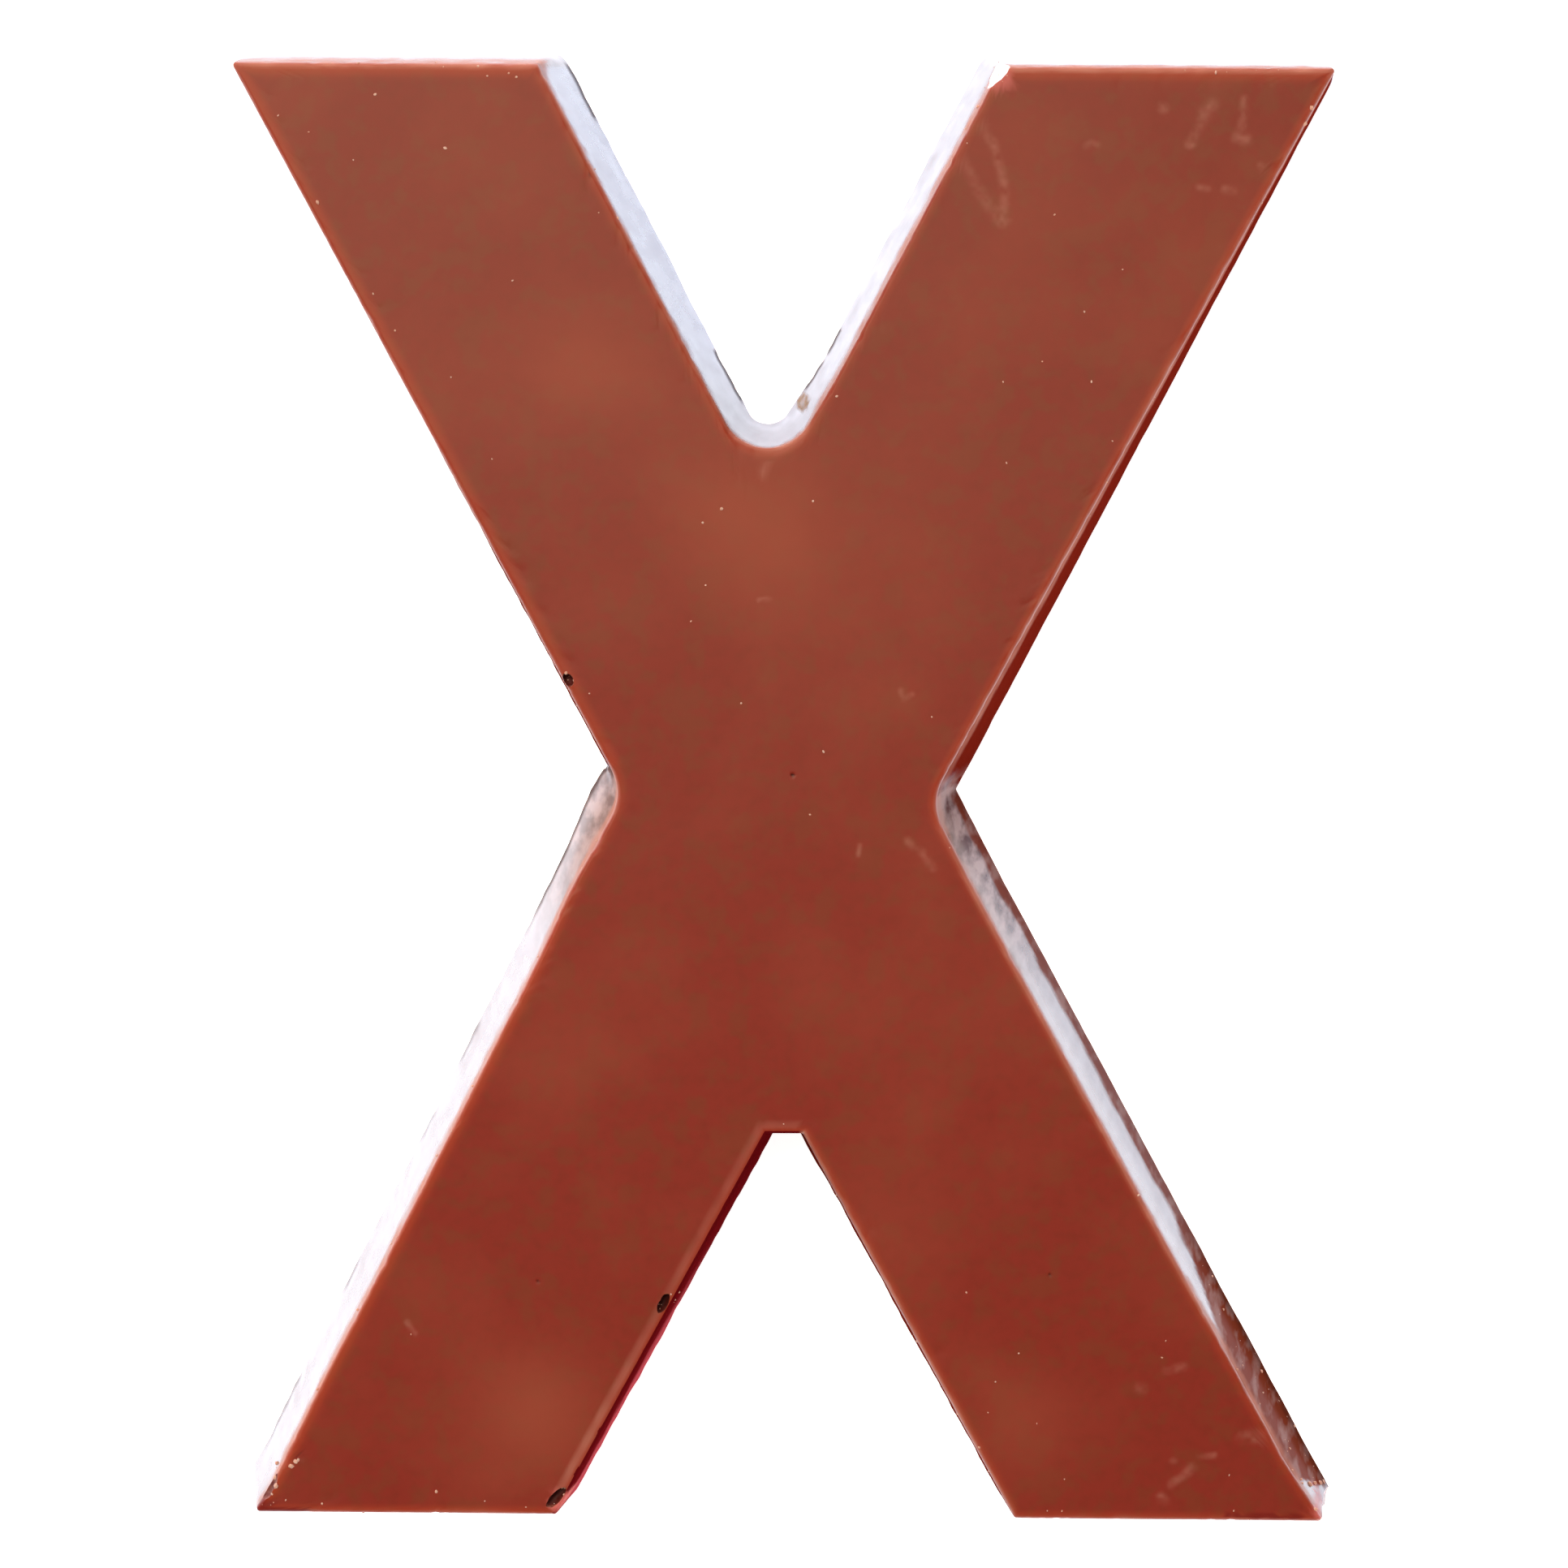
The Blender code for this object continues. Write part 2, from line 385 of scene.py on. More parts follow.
# %% Where the marks lie
# name: the mark's middle line in mm from the middle of the face, half width, how much paler
SCUFFS = {
    "teardrop_left": ([(14.3, 51.3), (15.3, 49.4), (16.3, 47.7), (17.2, 46.9)], 0.45, 0.30),
    "teardrop_right": ([(15.8, 54.0), (16.6, 52.7), (17.2, 50.8), (17.6, 48.9), (17.4, 47.1)], 0.40, 0.45),
    "teardrop_end": ([(16.8, 47.3), (17.4, 46.7)], 0.55, 0.55),
    "slanting_stroke": ([(33.7, 55.6), (32.9, 54.2), (32.1, 52.6)], 0.42, 0.50),
    "slanting_stroke_head": ([(33.3, 55.0), (33.8, 55.5)], 0.60, 0.40),
    "upright_stroke": ([(36.3, 56.0), (36.2, 54.1), (35.9, 53.1)], 0.36, 0.45),
    "upright_stroke_foot": ([(35.8, 53.1), (36.5, 52.9)], 0.50, 0.45),
    "arm_dash_left": ([(32.8, 49.2), (33.5, 49.1)], 0.28, 0.40),
    "arm_dash_right": ([(34.9, 49.0), (35.6, 48.9)], 0.34, 0.40),
    "arm_spot": ([(29.9, 55.5), (30.0, 55.4)], 0.42, 0.45),
    "arm_crescent": ([(23.9, 52.4), (24.4, 52.8), (24.9, 52.5)], 0.25, 0.30),
    "arm_edge_spot": ([(37.7, 50.9), (37.9, 50.6)], 0.32, 0.40),
    "notch_smear": ([(-1.6, 26.9), (-1.2, 27.5)], 0.40, 0.50),
    "centre_dash": ([(-1.9, 16.7), (-1.1, 16.8)], 0.20, 1.00),
    "centre_stroke": ([(6.1, -3.1), (6.0, -3.9)], 0.20, 0.70),
    "waist_smudge": ([(10.0, -2.8), (11.2, -3.8), (12.0, -4.9)], 0.34, 0.40),
    "waist_hook": ([(9.4, 9.4), (9.6, 8.7), (10.3, 9.1)], 0.24, 0.40),
    "foot_smudge": ([(37.5, -52.1), (38.8, -52.1)], 0.50, 0.50),
    "foot_dash": ([(34.0, -53.7), (35.1, -53.6)], 0.28, 0.55),
    "foot_streak": ([(33.4, -54.6), (32.6, -55.4), (31.7, -56.1)], 0.38, 0.42),
    "foot_low_spot": ([(30.8, -57.2), (31.0, -57.4)], 0.45, 0.45),
    "foot_left_spot": ([(31.8, -54.1), (31.9, -54.1)], 0.30, 0.50),
    "foot_high_smudge": ([(31.3, -46.5), (32.5, -46.2)], 0.42, 0.45),
    "foot_round_spot": ([(29.0, -48.0), (29.2, -48.0)], 0.45, 0.35),
    "left_foot_scratch": ([(-31.1, -42.7), (-30.5, -43.6)], 0.26, 0.55),
}
# name: middle in mm, radius, depth
PITS = {
    "centre_bubble": ((0.7, 2.6), 0.20, 0.12),
    "left_leg_bubble": ((-20.3, -39.2), 0.18, 0.08),
    "right_leg_bubble": ((21.6, -38.5), 0.18, 0.08),
    "arm_bubble": ((-15.2, 50.3), 0.20, 0.07),
    "left_foot_pit": ((-40.4, -53.9), 0.22, 0.08),
    "left_foot_pit_beside": ((-39.9, -53.8), 0.22, 0.08),
}
# name: middle in mm, radius, strength
CLOUDS = {
    "under_the_notch": ((-1.5, 24.0), 6.5, 0.55),
    "left_arm": ((-16.0, 35.5), 4.0, 0.45),
    "left_foot": ((-20.5, -50.5), 5.5, 0.8),
    "right_foot": ((19.0, -52.0), 5.0, 0.35),
    "right_waist": ((9.5, 9.0), 3.0, 0.3),
}
SCUFF_REACH = 1.6  # half widths, to where a scuff has faded out
# how pale a scuff is on average, and how much its coarse and fine patches add, with their size in mm
SCUFF_MEAN, COARSE_PATCHES, FINE_PATCHES = 0.62, (0.55, 1.3), (0.35, 0.6)
SCUFF_WANDER = (0.25, 0.9)  # half widths that its border wanders, and over how many mm
PIT_FLOOR = 0.25  # of a pit's radius


def off_line(points, line):
    """How far each point is from a line of points."""
    nearest = np.full(len(points), np.inf)
    for a, b in zip(np.array(line[:-1]), np.array(line[1:])):
        share = np.clip((points - a) @ (b - a) / ((b - a) @ (b - a)), 0, 1)
        nearest = np.minimum(nearest, np.linalg.norm(points - a - share[:, None] * (b - a), axis=1))
    return nearest


def scuffed(points):
    """How much paler than the rest each point of the face is, from 0 to 1."""
    total = np.zeros(len(points))
    flat_points = np.column_stack([points, np.zeros(len(points))])
    coarse = COARSE_PATCHES[0] * ripple(flat_points, COARSE_PATCHES[1], 2)
    fine = FINE_PATCHES[0] * ripple(flat_points, FINE_PATCHES[1], 4)
    patchy = np.clip(SCUFF_MEAN + coarse + fine, 0, 1.2)
    wander = SCUFF_WANDER[0] * ripple(flat_points, SCUFF_WANDER[1], 5)
    for line, half_width, pale in SCUFFS.values():
        off = off_line(points, line) / half_width + wander
        total = np.maximum(total, pale * fade(off, SCUFF_REACH, 0.0))
    return total * patchy


def pitted(points):
    """How far each point of the face lies below it, in mm."""
    total = np.zeros(len(points))
    for place, radius, depth in PITS.values():
        off = np.linalg.norm(points - place, axis=1)
        total = np.maximum(total, depth * fade(off, radius, radius * PIT_FLOOR))
    return total


def clouded(points):
    """How dull with risen cocoa butter each point of the face is, from 0 to 1."""
    total = np.zeros(len(points))
    for place, radius, strength in CLOUDS.values():
        total += strength * np.exp(-np.sum((points - place) ** 2, axis=1) / radius**2)
    return np.clip(total, 0, 1)


print(len(SCUFFS), "scuffs,", len(PITS), "pits,", len(CLOUDS), "clouds")

# %% [markdown]
# ## The face and the back
#
# Two flat fields of triangles close the slab. Filling each with one many-sided face would leave nothing
# to shape, so a honeycomb of points is laid inside the last ring and a constrained Delaunay
# triangulation joins them, which keeps the triangles even and meets the ring exactly. Round the marks
# the honeycomb is finer.

# %% Fill an outline with even triangles
# in mm: between the points, and kept free round the finer fields and inside the edges
FACE_SPACING, BACK_SPACING, MARK_SPACING = 0.55, 1.6, 0.17
MARK_MARGIN, MARK_CLEARANCE = 0.25, 0.12
FACE_CLEARANCE, BACK_CLEARANCE = 0.30, 1.3


def inside(points, margin):
    """Which points lie in the letter, at least margin inside its outline."""
    shape = even_ring(-margin)
    odd = np.zeros(len(points), bool)
    for a, b in zip(shape, np.roll(shape, -1, axis=0)):
        if a[1] == b[1]:
            continue
        spans = np.flatnonzero((a[1] > points[:, 1]) != (b[1] > points[:, 1]))
        crossing = a[0] + (b[0] - a[0]) * (points[spans, 1] - a[1]) / (b[1] - a[1])
        odd[spans] ^= points[spans, 0] < crossing
    return odd


def honeycomb(spacing, low=(-46, -62), high=(46, 62)):
    """Points in even rows over a box, every other row shifted by half a step."""
    xs = np.arange(low[0], high[0], spacing)
    ys = np.arange(low[1], high[1], spacing * math.sqrt(3) / 2)
    return np.array([(x + (row % 2) * spacing / 2, y) for row, y in enumerate(ys) for x in xs])


def fill(border, inner):
    """Triangles over the border's inside that use all border and inner points."""
    points = [Vector(p) for p in np.vstack([border, inner])]
    made = delaunay_2d_cdt(points, [], [list(range(len(border)))], 1, 1e-6)
    if len(made[0]) != len(points):
        raise RuntimeError("the triangulation changed the points")
    return [tuple(face) for face in made[2]]


face_points = honeycomb(FACE_SPACING)
marks = [(line, half_width) for line, half_width, _ in SCUFFS.values()]
marks += [([place, (place[0] + 0.01, place[1])], radius) for place, radius, _ in PITS.values()]
for line, half_width in marks:
    reach = SCUFF_REACH * half_width + MARK_MARGIN
    fine = honeycomb(MARK_SPACING, np.min(line, axis=0) - reach, np.max(line, axis=0) + reach)
    fine = fine[off_line(fine, line) < reach]
    face_points = face_points[off_line(face_points, line) > reach + MARK_CLEARANCE]
    face_points = np.vstack([face_points, fine])
face_points = face_points[inside(face_points, inset + INNER_RINGS[-1] + FACE_CLEARANCE)]
back_points = honeycomb(BACK_SPACING)
back_points = back_points[inside(back_points, BACK_CLEARANCE - DRAFT)]
face_triangles = fill(rings[-1][:, :2], face_points)
back_triangles = fill(rings[0][:, :2], back_points)
print("face triangles:", len(face_triangles), " back triangles:", len(back_triangles))

# %% [markdown]
# ## One closed mesh
#
# The rings are joined point to point by quads, and the two fields of triangles share the first and the
# last ring's points, so the mesh is closed by construction and no doubles have to be merged. The face
# itself is not quite level: slow waves and a faint orange peel bend what it mirrors.

# %% Join rings, face and back
SLOW_WAVE, ORANGE_PEEL = (0.035, 24.0), (0.010, 7.0)  # height and length in mm
SCUFF_DEPTH = 0.012  # mm
count = rings.shape[1]
side_vertices = rings.reshape(-1, 3)
top_start = len(side_vertices)
top = np.column_stack([face_points, np.full(len(face_points), THICKNESS)])
bottom_start = top_start + len(top)
bottom = np.column_stack([back_points, np.zeros(len(back_points))])
vertices = np.vstack([side_vertices, top, bottom])

faces = []
for level in range(len(rings) - 1):
    here = level * count + np.arange(count)
    following = level * count + (np.arange(count) + 1) % count
    faces += np.column_stack([here, following, following + count, here + count]).tolist()
quads = len(faces)
last = quads  # the last ring's first vertex: there are as many quads as vertices before it
faces += [[last + v if v < count else top_start + v - count for v in face] for face in face_triangles]
faces += [
    [v if v < count else bottom_start + v - count for v in reversed(face)] for face in back_triangles
]


def face_relief(points):
    """How far the face stands above its plane: slow waves and a faint orange peel."""
    return sum(h * ripple(points, length, 6 + i) for i, (h, length) in enumerate((SLOW_WAVE, ORANGE_PEEL)))


is_face = vertices[:, 2] > THICKNESS - 0.01
on_face = vertices[is_face, :2]
vertices[is_face, 2] += face_relief(vertices[is_face]) - pitted(on_face) - SCUFF_DEPTH * scuffed(on_face)


def mesh_object(name, points, polygons):
    """A mesh object at the origin from points in letter millimetres."""
    place = (np.asarray(points, float) - (*middle, 0)) * MM
    mesh = bpy.data.meshes.new(name)
    mesh.from_pydata(place.tolist(), [], polygons)
    mesh.validate()
    made = bpy.data.objects.new(name, mesh)
    bpy.context.scene.collection.objects.link(made)
    return made


letter = mesh_object("chocolate_letter", vertices, faces)
print("letter:", len(letter.data.vertices), "vertices,", len(letter.data.polygons), "faces")

# %% [markdown]
# ## Four finishes of one chocolate
#
# The face lay against the mould's floor, the sides against its polished walls, the back was open to the
# air, and a chip shows the inside. So the letter has four materials, given here by height: the wall's
# reaches a little way into the rolled edge, and further up on the dark side of the lower notch.

# %% Give each polygon its material
WALL_TOP, DARK_WALL_TOP = 9.62, 9.97  # mm above the back
BACK_TOP = 0.01
FACE, WALL, BACK = 0, 1, 3  # places in the letter's list of materials; the break's is 2

face_skin = bpy.data.materials.new("satin_moulded_milk_chocolate")
wall_skin = bpy.data.materials.new("polished_moulded_milk_chocolate")
broken = bpy.data.materials.new("broken_milk_chocolate")
back_skin = bpy.data.materials.new("scraped_milk_chocolate")
for material in (face_skin, wall_skin, broken, back_skin):
    letter.data.materials.append(material)
dark_side = np.isin(side_of, [names.index("left_leg_inner"), names.index("lower_notch_flat")])
wall_tops = np.where(dark_side, DARK_WALL_TOP, WALL_TOP)
for polygon in letter.data.polygons:
    wall_top = wall_tops[polygon.index % count] if polygon.index < quads else WALL_TOP
    polygon.material_index = WALL if polygon.center.z < wall_top * MM else FACE
    if polygon.center.z < BACK_TOP * MM:
        polygon.material_index = BACK
print("materials:", [m.name for m in letter.data.materials])

# %% [markdown]
# ## Chips
#
# A few pieces have been knocked out of the edges: one at the right arm's inner corner, others at the
# feet, the lower notch and the left waist. In soft clay they could be pushed in, but chocolate snaps, so
# each is cut with a Boolean by a blunt lump whose surface has the grain of a fracture. The cut takes
# the lump's material, which keeps the fresh break apart from the moulded skin. The right foot's corner
# is crushed from the face down to the back, so its lump is a long one.

# %% Cut the chips with rough lumps
# name: lump's middle from the middle of the face, half lengths, turn about Z in degrees
CHIPS = {
    "arm_corner_chip": ((14.4, 60.6, 0.4), (4.15, 4.15, 4.15), 0),
    "left_foot_crumbled_edge": ((-43.1, -56.5, 0.3), (0.9, 1.6, 1.0), -27),
    "left_foot_gouge": ((-19.0, -57.5, 0.1), (1.20, 0.42, 0.8), 46),
    "right_foot_crushed_corner": ((48.8, -60.7, 2.0), (5.0, 5.0, 16.0), 20),
    "lower_notch_nick": ((-10.0, -41.0, -0.2), (0.4, 0.9, 0.8), -28),
    "waist_pit": ((-17.3, 10.3, 0.0), (0.4, 0.6, 0.7), 28),
}
FRACTURE_GRAIN = 0.9  # mm, the size of the steps that a break leaves
STEPS, FINE_STEPS = 0.10, 0.04  # how far they stand out, as a share of the lump's size
LARGEST_ROUGH = 1.6  # mm, half length above which a lump's roughness grows no more


def fracture_lump(name, place, half_lengths, turn):
    """A closed lump in letter millimetres, its surface roughened by the fracture's grain."""
    bm = bmesh.new()
    bmesh.ops.create_icosphere(bm, subdivisions=5 if half_lengths[0] > 2 else 4, radius=1.0)
    unit_points = np.array([v.co for v in bm.verts])
    grain = ripple(unit_points * half_lengths + place, FRACTURE_GRAIN, 3)
    fine = ripple(unit_points * half_lengths + place, FRACTURE_GRAIN / 3, 5)
    size = 1 + (STEPS * grain + FINE_STEPS * fine) * min(1, LARGEST_ROUGH / max(half_lengths))
    turning = np.array(Matrix.Rotation(math.radians(turn), 3, "Z")).T
    points = unit_points * size[:, None] * half_lengths @ turning + place + (0, 0, THICKNESS)
    polygons = [[v.index for v in f.verts] for f in bm.faces]
    bm.free()
    return mesh_object(name, points, polygons)


lumps = [fracture_lump(name, *chip) for name, chip in CHIPS.items()]
for lump in lumps:
    lump.data.materials.append(broken)
    cut = letter.modifiers.new(lump.name, "BOOLEAN")
    cut.operation = "DIFFERENCE"
    cut.solver = "EXACT"
    cut.material_mode = "TRANSFER"
    cut.object = lump
evaluated = letter.evaluated_get(bpy.context.evaluated_depsgraph_get())
cut_mesh = bpy.data.meshes.new_from_object(evaluated)
letter.modifiers.clear()
letter.data = cut_mesh
for lump in lumps:
    bpy.data.objects.remove(lump)
print("after the chips:", len(cut_mesh.vertices), "vertices,", len(cut_mesh.polygons), "faces")

# %% [markdown]
# ## Where each finish lies
#
# The materials need to know where they are: how near the face's edge, on which side, how high up the
# wall. Painting a texture would do it, but the places follow the shape, so they are worked out for each
# vertex and kept as attributes. First, each vertex looks up the nearest point of the line where the wall
# ends and the rolled edge begins, which tells its side, where that faces, and how far in it lies.

# %% Which side each vertex belongs to
letter.data.shade_smooth()
letter.data.set_sharp_from_angle(angle=math.radians(38))
co = np.empty(len(letter.data.vertices) * 3)
letter.data.vertices.foreach_get("co", co)
co = co.reshape(-1, 3) / MM + (*middle, 0)
x, y, height = co.T

edge_line = rings[WALL_RINGS][:, :2]
tree = KDTree(len(edge_line))
for i, p in enumerate(edge_line):
    tree.insert((*p, 0), i)
tree.balance()
nearest = [tree.find((*p, 0)) for p in co[:, :2]]
from_edge = np.array([hit[2] for hit in nearest])
hits = np.array([hit[1] for hit in nearest])
beyond = np.einsum("ij,ij->i", co[:, :2] - edge_line[hits], outward[hits])
inward = np.where(beyond < 0, from_edge, -from_edge)
side_index = side_of[hits]
out_x, out_y = outward[hits].T
print("vertices within 1 mm of the edge:", np.sum(from_edge < 1))

# %% [markdown]
# Blender could mask each finish with a painted image or a vertex group. A named attribute does the same
# with plain arithmetic, and the materials read it by its name.

# %% Three helpers for finishes
def keep(name, values):
    """Stores one number for each vertex of the letter under a name that a material can read."""
    layer = letter.data.attributes.new(name, "FLOAT", "POINT")
    layer.data.foreach_set("value", np.asarray(values, np.float32))
    return values


def on_side(*wanted):
    """1 for the vertices nearest to one of these sides of the letter, 0 for the rest."""
    return np.isin(side_index, [names.index(name) for name in wanted]).astype(float)


def uneven(size, kind, amount):
    """Noise in mm that lets the border of a patch wander."""
    return amount * ripple(co, size, kind)


# %% [markdown]
# ## Parts of the letter
#
# A finish often covers one wall from here to there. Each such part is a number from 0 to 1 for every
# vertex that fades in between two places, given in mm along the letter, so that no border is hard.

# %% Legs, waists and ends
FACING = 0.3  # how far a wall has to face to the right or left, of 1
UPWARD = (-0.15, 0.2)  # of 1, how far it faces the letter's top where a leg's wall begins and is full
LEGS_BELOW = 8.0
LEFT_WAIST_TO = (-14, -2)
RIGHT_LEG_LOW_FROM = (-36, -46)
RIGHT_CORNER_FROM, RIGHT_CORNER_TO = (-8.0, -3.0), (8.0, 3.0)
RIGHT_BEND_FROM, RIGHT_BEND_TO = (-8.0, -1.0), (2.6, 0.4)

legs = fade(out_y, *UPWARD) * (y < LEGS_BELOW)
left_wall = on_side("left_leg_outer")
left_leg = np.maximum((out_x < -FACING) * legs, left_wall)
right_leg = (out_x > FACING) * legs
left_waist = left_leg * fade(y, *LEFT_WAIST_TO)
right_leg_low = right_leg * fade(y, *RIGHT_LEG_LOW_FROM)
right_corner = (out_x > FACING) * fade(y, *RIGHT_CORNER_FROM) * fade(y, *RIGHT_CORNER_TO)
right_bend = (out_x > FACING) * fade(y, *RIGHT_BEND_FROM) * fade(y, *RIGHT_BEND_TO)
crimson_side = on_side("left_leg_inner", "lower_notch_flat")
foot_end = on_side("left_foot_end", "right_foot_end")
print("vertices on the legs' outer walls:", np.sum(left_leg > 0.5), np.sum(right_leg > 0.5))

# %% [markdown]
# ## The edge: painted glow, rubbing and painted highlight
#
# Handling rubs an edge first. Light goes in at the face and out at the edge, and a rim of the face is
# painted redder for it: a painted glow. On the very edge the polish is gone and leaves a **pale, dull
# ridge**, pale partly from that rubbing and partly as a painted highlight of the rolled edge. Each side's
# edge is painted in its own way. The lower notch's left edge is rubbed further in instead.

# %% Rim and ridge
# How each side's edge looks: how strongly the rim's painted glow shows and how far in it reaches, how
# strong the pale ridge, rubbed and painted highlight, is and how far in it begins, and how high above
# the back it starts and is full, in mm
PLAIN_EDGE = (0.42, 0.95, 1.0, 0.36, 7.8, 9.2)
EDGE_GLOW_AND_RIDGE = {
    "left_leg_outer": (0.84, 1.15, 1.0, 0.36, 7.8, 9.2),
    "left_foot_end": (0.66, 0.95, 1.0, 0.50, 7.8, 9.2),
    "right_foot_end": (0.56, 0.95, 1.0, 0.50, 7.8, 9.2),
    "right_leg_inner": (0.50, 0.95, 1.0, 0.50, 7.8, 9.2),
    "right_leg_outer": (0.46, 0.95, 1.0, 0.56, 8.9, 9.6),
    "right_arm_outer": (0.62, 0.95, 0.78, 0.46, 6.8, 8.4),
    "right_arm_end": (0.80, 1.50, 1.0, 0.62, 7.2, 9.3),
    "right_arm_inner": (0.38, 0.95, 1.0, 0.28, 7.0, 9.0),
    "left_arm_inner": (0.52, 1.10, 1.0, 0.40, 8.8, 9.6),
    "left_arm_end": (0.80, 1.50, 1.0, 0.54, 3.5, 8.8),
    "left_arm_outer": (0.62, 1.40, 1.0, 0.36, 7.8, 9.2),
}
# over these points the rim's painted glow and the ridge's painted highlight also turn into the next side's
EDGE_RUNS_OUT = 6  # points over which one side's wear turns into the next one's
RIM_FULL = 0.30  # mm in from the edge
RIDGE_WIDTH = 0.36  # mm over which it fades inwards
LOWER_ON_RIGHT_LEG = (0.24, 1.1, 0.4)  # mm that the ridge begins further out, and starts and ends lower
RUBBED_BAND = (1.20, 0.85), (0.30, 0.60)  # mm in from the edge, where it begins and where it ends
RUBBED_FROM = (-40, -52)  # mm along the letter
RUBBED_PLAIN, RUBBED_MORE = 0.25, 0.3
RIM_LOSS_AT_LEFT_WAIST, RIDGE_LOSS_AT_FEET, RIDGE_LOSS_AT_RIGHT_WAIST = 0.45, 0.5, 0.4
RIDGE_EVEN, RIDGE_PATCHY, PATCH_SIZE = 0.72, 0.28, 2.4  # shares, and mm

edge_looks = np.array([EDGE_GLOW_AND_RIDGE.get(name, PLAIN_EDGE) for name in names])[side_of]
for _ in range(EDGE_RUNS_OUT):
    edge_looks = (np.roll(edge_looks, 1, axis=0) + edge_looks + np.roll(edge_looks, -1, axis=0)) / 3
glow, rim_reach, ridge_strength, ridge_from, ridge_foot, ridge_top = edge_looks[hits].T
# painted glow: the rim of the face is painted redder, for light leaving at the edge
keep("rim", glow * (1 - RIM_LOSS_AT_LEFT_WAIST * left_waist) * fade(inward, rim_reach, RIM_FULL))

# the pale ridge: partly rubbed, partly a painted highlight of the rolled edge
for size, lower in zip((ridge_from, ridge_foot, ridge_top), LOWER_ON_RIGHT_LEG):
    size -= lower * right_leg_low
ridge = fade(height + uneven(1.6, 2, 0.35), ridge_foot, ridge_top)
ridge *= fade(inward + uneven(1.8, 1, 0.06), ridge_from, ridge_from - RIDGE_WIDTH)
kept_at_feet = ridge_strength * (1 - crimson_side) * (1 - RIDGE_LOSS_AT_FEET * foot_end)
ridge *= kept_at_feet * (1 - RIDGE_LOSS_AT_RIGHT_WAIST * right_corner)
rubbed = fade(inward, *RUBBED_BAND[0]) * fade(inward, *RUBBED_BAND[1])
rubbed *= (RUBBED_PLAIN + RUBBED_MORE * fade(y, *RUBBED_FROM)) * crimson_side
ridge = keep("ridge", (ridge + rubbed) * (RIDGE_EVEN + RIDGE_PATCHY * ripple(co, PATCH_SIZE, 3)))
print("share of the vertices on the ridge: %.2f" % np.mean(ridge > 0.5))

# %% [markdown]
# ## Rubs, and painted shade at the feet
#
# In a few places a rub has laid the chocolate bare in pink, and at the feet the face's edge is painted
# dark red: painted shade where the edge turns away from the light. The scuffs, pits and clouds laid out
# above are kept here too, for the face's colour.

# %% Marks as attributes
# name: middle in mm, radius, strength
PINK_PATCHES = {
    "left_foot_inner_corner": ((-18.6, -57.9), 1.3, 0.75),
    "right_foot_corner": ((44.1, -58.2), 0.95, 0.50),
    "right_arm_chip_edge": ((17.3, 57.6), 1.2, 0.45),
}
# painted shade: the feet's edges are painted dark red where they turn away from the light
# name: line in mm, half width
FOOT_EDGE_SHADES = {
    "left_foot_corner": ([(-43.9, -58.2), (-43.0, -58.2)], 0.62),
    "left_foot_underline": ([(-43.4, -58.6), (-39.6, -58.7)], 0.26),
    "right_foot_underline": ([(36.3, -58.7), (42.3, -58.8)], 0.22),
}
FOOT_EDGE_SHADE_STRENGTH = 0.8
PINK_FULL, PINK_HEIGHT = 0.4, (3.0, 6.0)  # of the radius, and mm above the back
FOOT_EDGE_SHADE_FADES = (1.2, 0.5)  # half widths
PIT_FULL = 0.10  # mm deep, where a pit is as dark as it gets
MARKS_ABOVE, CLOUDS_ABOVE = 9.5, 9.2  # mm above the back

pink = np.zeros(len(co))
for place, radius, strength in PINK_PATCHES.values():
    off = np.linalg.norm(co[:, :2] - place, axis=1) + uneven(0.9, 5, 0.35)
    pink = np.maximum(pink, strength * fade(off, radius, PINK_FULL * radius))
pink = keep("pink", pink * fade(height, *PINK_HEIGHT))
# painted shade along the feet's edges
foot_edge_shade = np.zeros(len(co))
for line, half_width in FOOT_EDGE_SHADES.values():
    off = off_line(co[:, :2], line) + uneven(0.8, 2, 0.15)
    fades = [share * half_width for share in FOOT_EDGE_SHADE_FADES]
    foot_edge_shade = np.maximum(foot_edge_shade, FOOT_EDGE_SHADE_STRENGTH * fade(off, *fades))
keep("foot_edge_shade", foot_edge_shade)
keep("scuff", np.where(height > MARKS_ABOVE, scuffed(co[:, :2]), 0))
# painted shade: each pit is painted darker the deeper it is
keep("bubble", np.where(height > MARKS_ABOVE, pitted(co[:, :2]) / PIT_FULL, 0))
keep("cloud", np.where(height > CLOUDS_ABOVE, clouded(co[:, :2]), 0))
print(len(PINK_PATCHES), "pink patches,", len(FOOT_EDGE_SHADES), "foot_edge_shades")

# %% [markdown]
# ## Painted shade and highlight in the chips
#
# The small chips are deep for their width, so little light leaves them: they are painted nearly black,
# as painted shade. The arm's chip and the crushed corner lie open to the light and are painted **almost
# white**, as a painted highlight.

# %% Dark and pale chips
CHIP_SHADE = {
    "left_foot_gouge": 0.9,
    "lower_notch_nick": 0.9,
    "waist_pit": 0.9,
    "left_foot_crumbled_edge": 0.5,
}
SHADE_REACH, SHADE_HEIGHT = 1.3, (9.95, 9.6)  # half lengths of the chip's lump, and mm above the back
HIGHLIGHT_REACH, HIGHLIGHT_HEIGHT = (1.25, 1.12), (10.0, 9.8)  # the same for the arm's chip
CRUSHED_CORNER, CORNER_HIGHLIGHT = (40, -55), 0.6  # right of and below this place in mm, and how strongly

hollow = np.zeros(len(co))
for name, shade in CHIP_SHADE.items():
    place, half_lengths, _ = CHIPS[name]
    off = np.linalg.norm(co[:, :2] - place[:2], axis=1)
    in_chip = off < SHADE_REACH * max(half_lengths)
    hollow = np.maximum(hollow, shade * in_chip * fade(height, *SHADE_HEIGHT))
keep("hollow", hollow)
